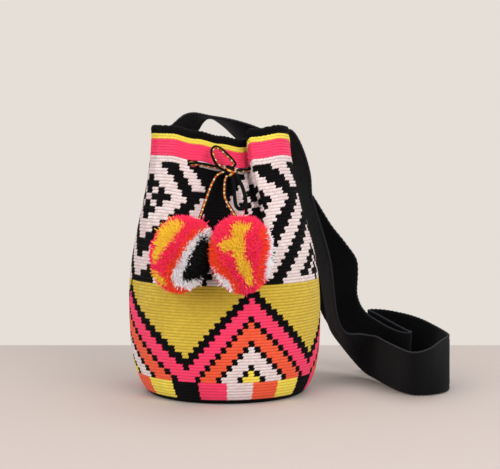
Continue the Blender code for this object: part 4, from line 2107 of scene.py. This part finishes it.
        # The side faces take a lighter grey: a painted highlight along the strap's edges
        edge = CottonYarn(self.edge_thread, sheen=0.04, specular=0.1).material("strap_edge_thread")
        strap = new_object("woven_strap", ribbon, [dark, edge])
        wall = strap.modifiers.new("thickness", "SOLIDIFY")
        wall.thickness = self.thickness - 2.0 * self.rib_relief
        wall.offset = 0.0
        wall.material_offset_rim = 1
        seat(strap, BAG_BODY)
        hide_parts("strap")
        length = line_length([row[half] for row in rows])
        LOG.info("strap length %.3f m", length)
        return strap


@dataclass
class Studio:
    """The pale table, the pale room, the soft lamps and the camera."""

    view_from: Place = (0.0248, -1.2821, 0.2525)
    tilt: float = 4.008
    focal_pixels: float = 1236.2
    image_width: float = 500.0
    sensor: float = 36.0
    table: tuple[int, int, int] = (201, 190, 184)
    wall: tuple[int, int, int] = (230, 223, 216)
    room_light: float = 0.78
    room_colour: Place = (1.0, 0.99, 0.98)
    lamp_aim: Place = (0.03, 0.0, 0.12)
    # Name, place, size, power and colour of each lamp
    hung: tuple[tuple[str, Place, float, float, Place], ...] = (
        ("key", (1.2, -1.7, 1.2), 1.4, 26.0, (1.0, 0.985, 0.96)),
        ("fill", (-1.3, -1.6, 0.9), 1.6, 18.0, (1.0, 0.985, 0.97)),
        ("back", (0.3, 0.1, 1.7), 1.0, 4.0, (1.0, 1.0, 1.0)),
    )
    table_back: float = 0.29
    table_front: float = -6.0
    table_side: float = 6.0

    def camera(self) -> None:
        """Set the camera at the photograph's place."""
        data = bpy.data.cameras.new("camera")
        data.sensor_width = self.sensor
        data.lens = self.sensor * self.focal_pixels / self.image_width
        view = bpy.data.objects.new("camera", data)
        view.location = self.view_from
        view.rotation_euler = (math.radians(90.0 - self.tilt), 0.0, 0.0)
        bpy.context.scene.collection.objects.link(view)
        bpy.context.scene.camera = view

    def table_top(self) -> None:
        """Make the table, whose back edge shows in front of the pale room."""
        sheet = bmesh.new()
        bmesh.ops.create_grid(sheet, x_segments=2, y_segments=2, size=0.5)
        depth = self.table_back - self.table_front
        bmesh.ops.scale(sheet, vec=(2.0 * self.table_side, depth, 1.0), verts=sheet.verts)
        bmesh.ops.translate(
            sheet, vec=(0.0, 0.5 * (self.table_back + self.table_front), 0.0), verts=sheet.verts
        )
        new_object("table_top", sheet, [PlainPaint(self.table).material("table_cloth")])

    def lamps(self) -> None:
        """Hang three soft lamps and set the light and colour of the room."""
        for name, place, size, power, colour in self.hung:
            data = bpy.data.lights.new(name, "AREA")
            data.size = size
            data.energy = power
            data.color = colour
            lamp = bpy.data.objects.new(name, data)
            lamp.location = place
            aim = Vector(self.lamp_aim) - Vector(place)
            lamp.rotation_euler = aim.to_track_quat("-Z", "Y").to_euler()
            bpy.context.scene.collection.objects.link(lamp)
        world = bpy.data.worlds.new("room")
        world.use_nodes = True
        tree = world.node_tree
        light = tree.nodes["Background"]
        light.inputs["Color"].default_value = (*self.room_colour, 1.0)
        light.inputs["Strength"].default_value = self.room_light
        seen = tree.nodes.new("ShaderNodeBackground")
        seen.inputs["Color"].default_value = linear(self.wall)
        rays = tree.nodes.new("ShaderNodeLightPath")
        either = tree.nodes.new("ShaderNodeMixShader")
        tree.links.new(rays.outputs["Is Camera Ray"], either.inputs[0])
        tree.links.new(light.outputs[0], either.inputs[1])
        tree.links.new(seen.outputs[0], either.inputs[2])
        tree.links.new(either.outputs[0], tree.nodes["World Output"].inputs["Surface"])
        bpy.context.scene.world = world
        bpy.context.scene.view_settings.view_transform = "Standard"


def main() -> None:
    """Dress the bag and set the studio."""
    logging.basicConfig(level=logging.INFO, format="%(message)s")
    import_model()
    studio = Studio()
    studio.camera()
    form = BagForm()
    bow = DrawnBow(form)
    knot = bow.knot()
    poms = {
        "left": Pompom(
            "left", LEFT_BODY, form, knot, angle=-19.5, height=0.1445, stand_off=0.0020,
            shift=(0.002, 0.0, 0.0026), patches=left_patches(),
        ),
        "right": Pompom(
            "right", RIGHT_BODY, form, knot, angle=7.3, height=0.1405, stand_off=0.0115,
            shift=(0.003, 0.0, 0.0058), patches=right_patches(),
        ),
    }
    yarns = [yarn for yarn in Yarn if yarn.name.startswith("POMPOM")]
    finishes = {
        yarn: CottonYarn(
            yarn.value, sheen=0.05, roughness=0.9, specular=0.1, darkest=0.95, lightest=1.6
        ).material(f"{yarn.label}_yarn")
        for yarn in yarns
    }
    for pompom in poms.values():
        pompom.build(finishes)
    bow.build(poms)
    WovenStrap(form).build()
    CrochetedBag(form, CrochetChart()).build()
    studio.table_top()
    studio.lamps()
    bpy.context.view_layer.update()


if __name__ == "__main__":
    main()
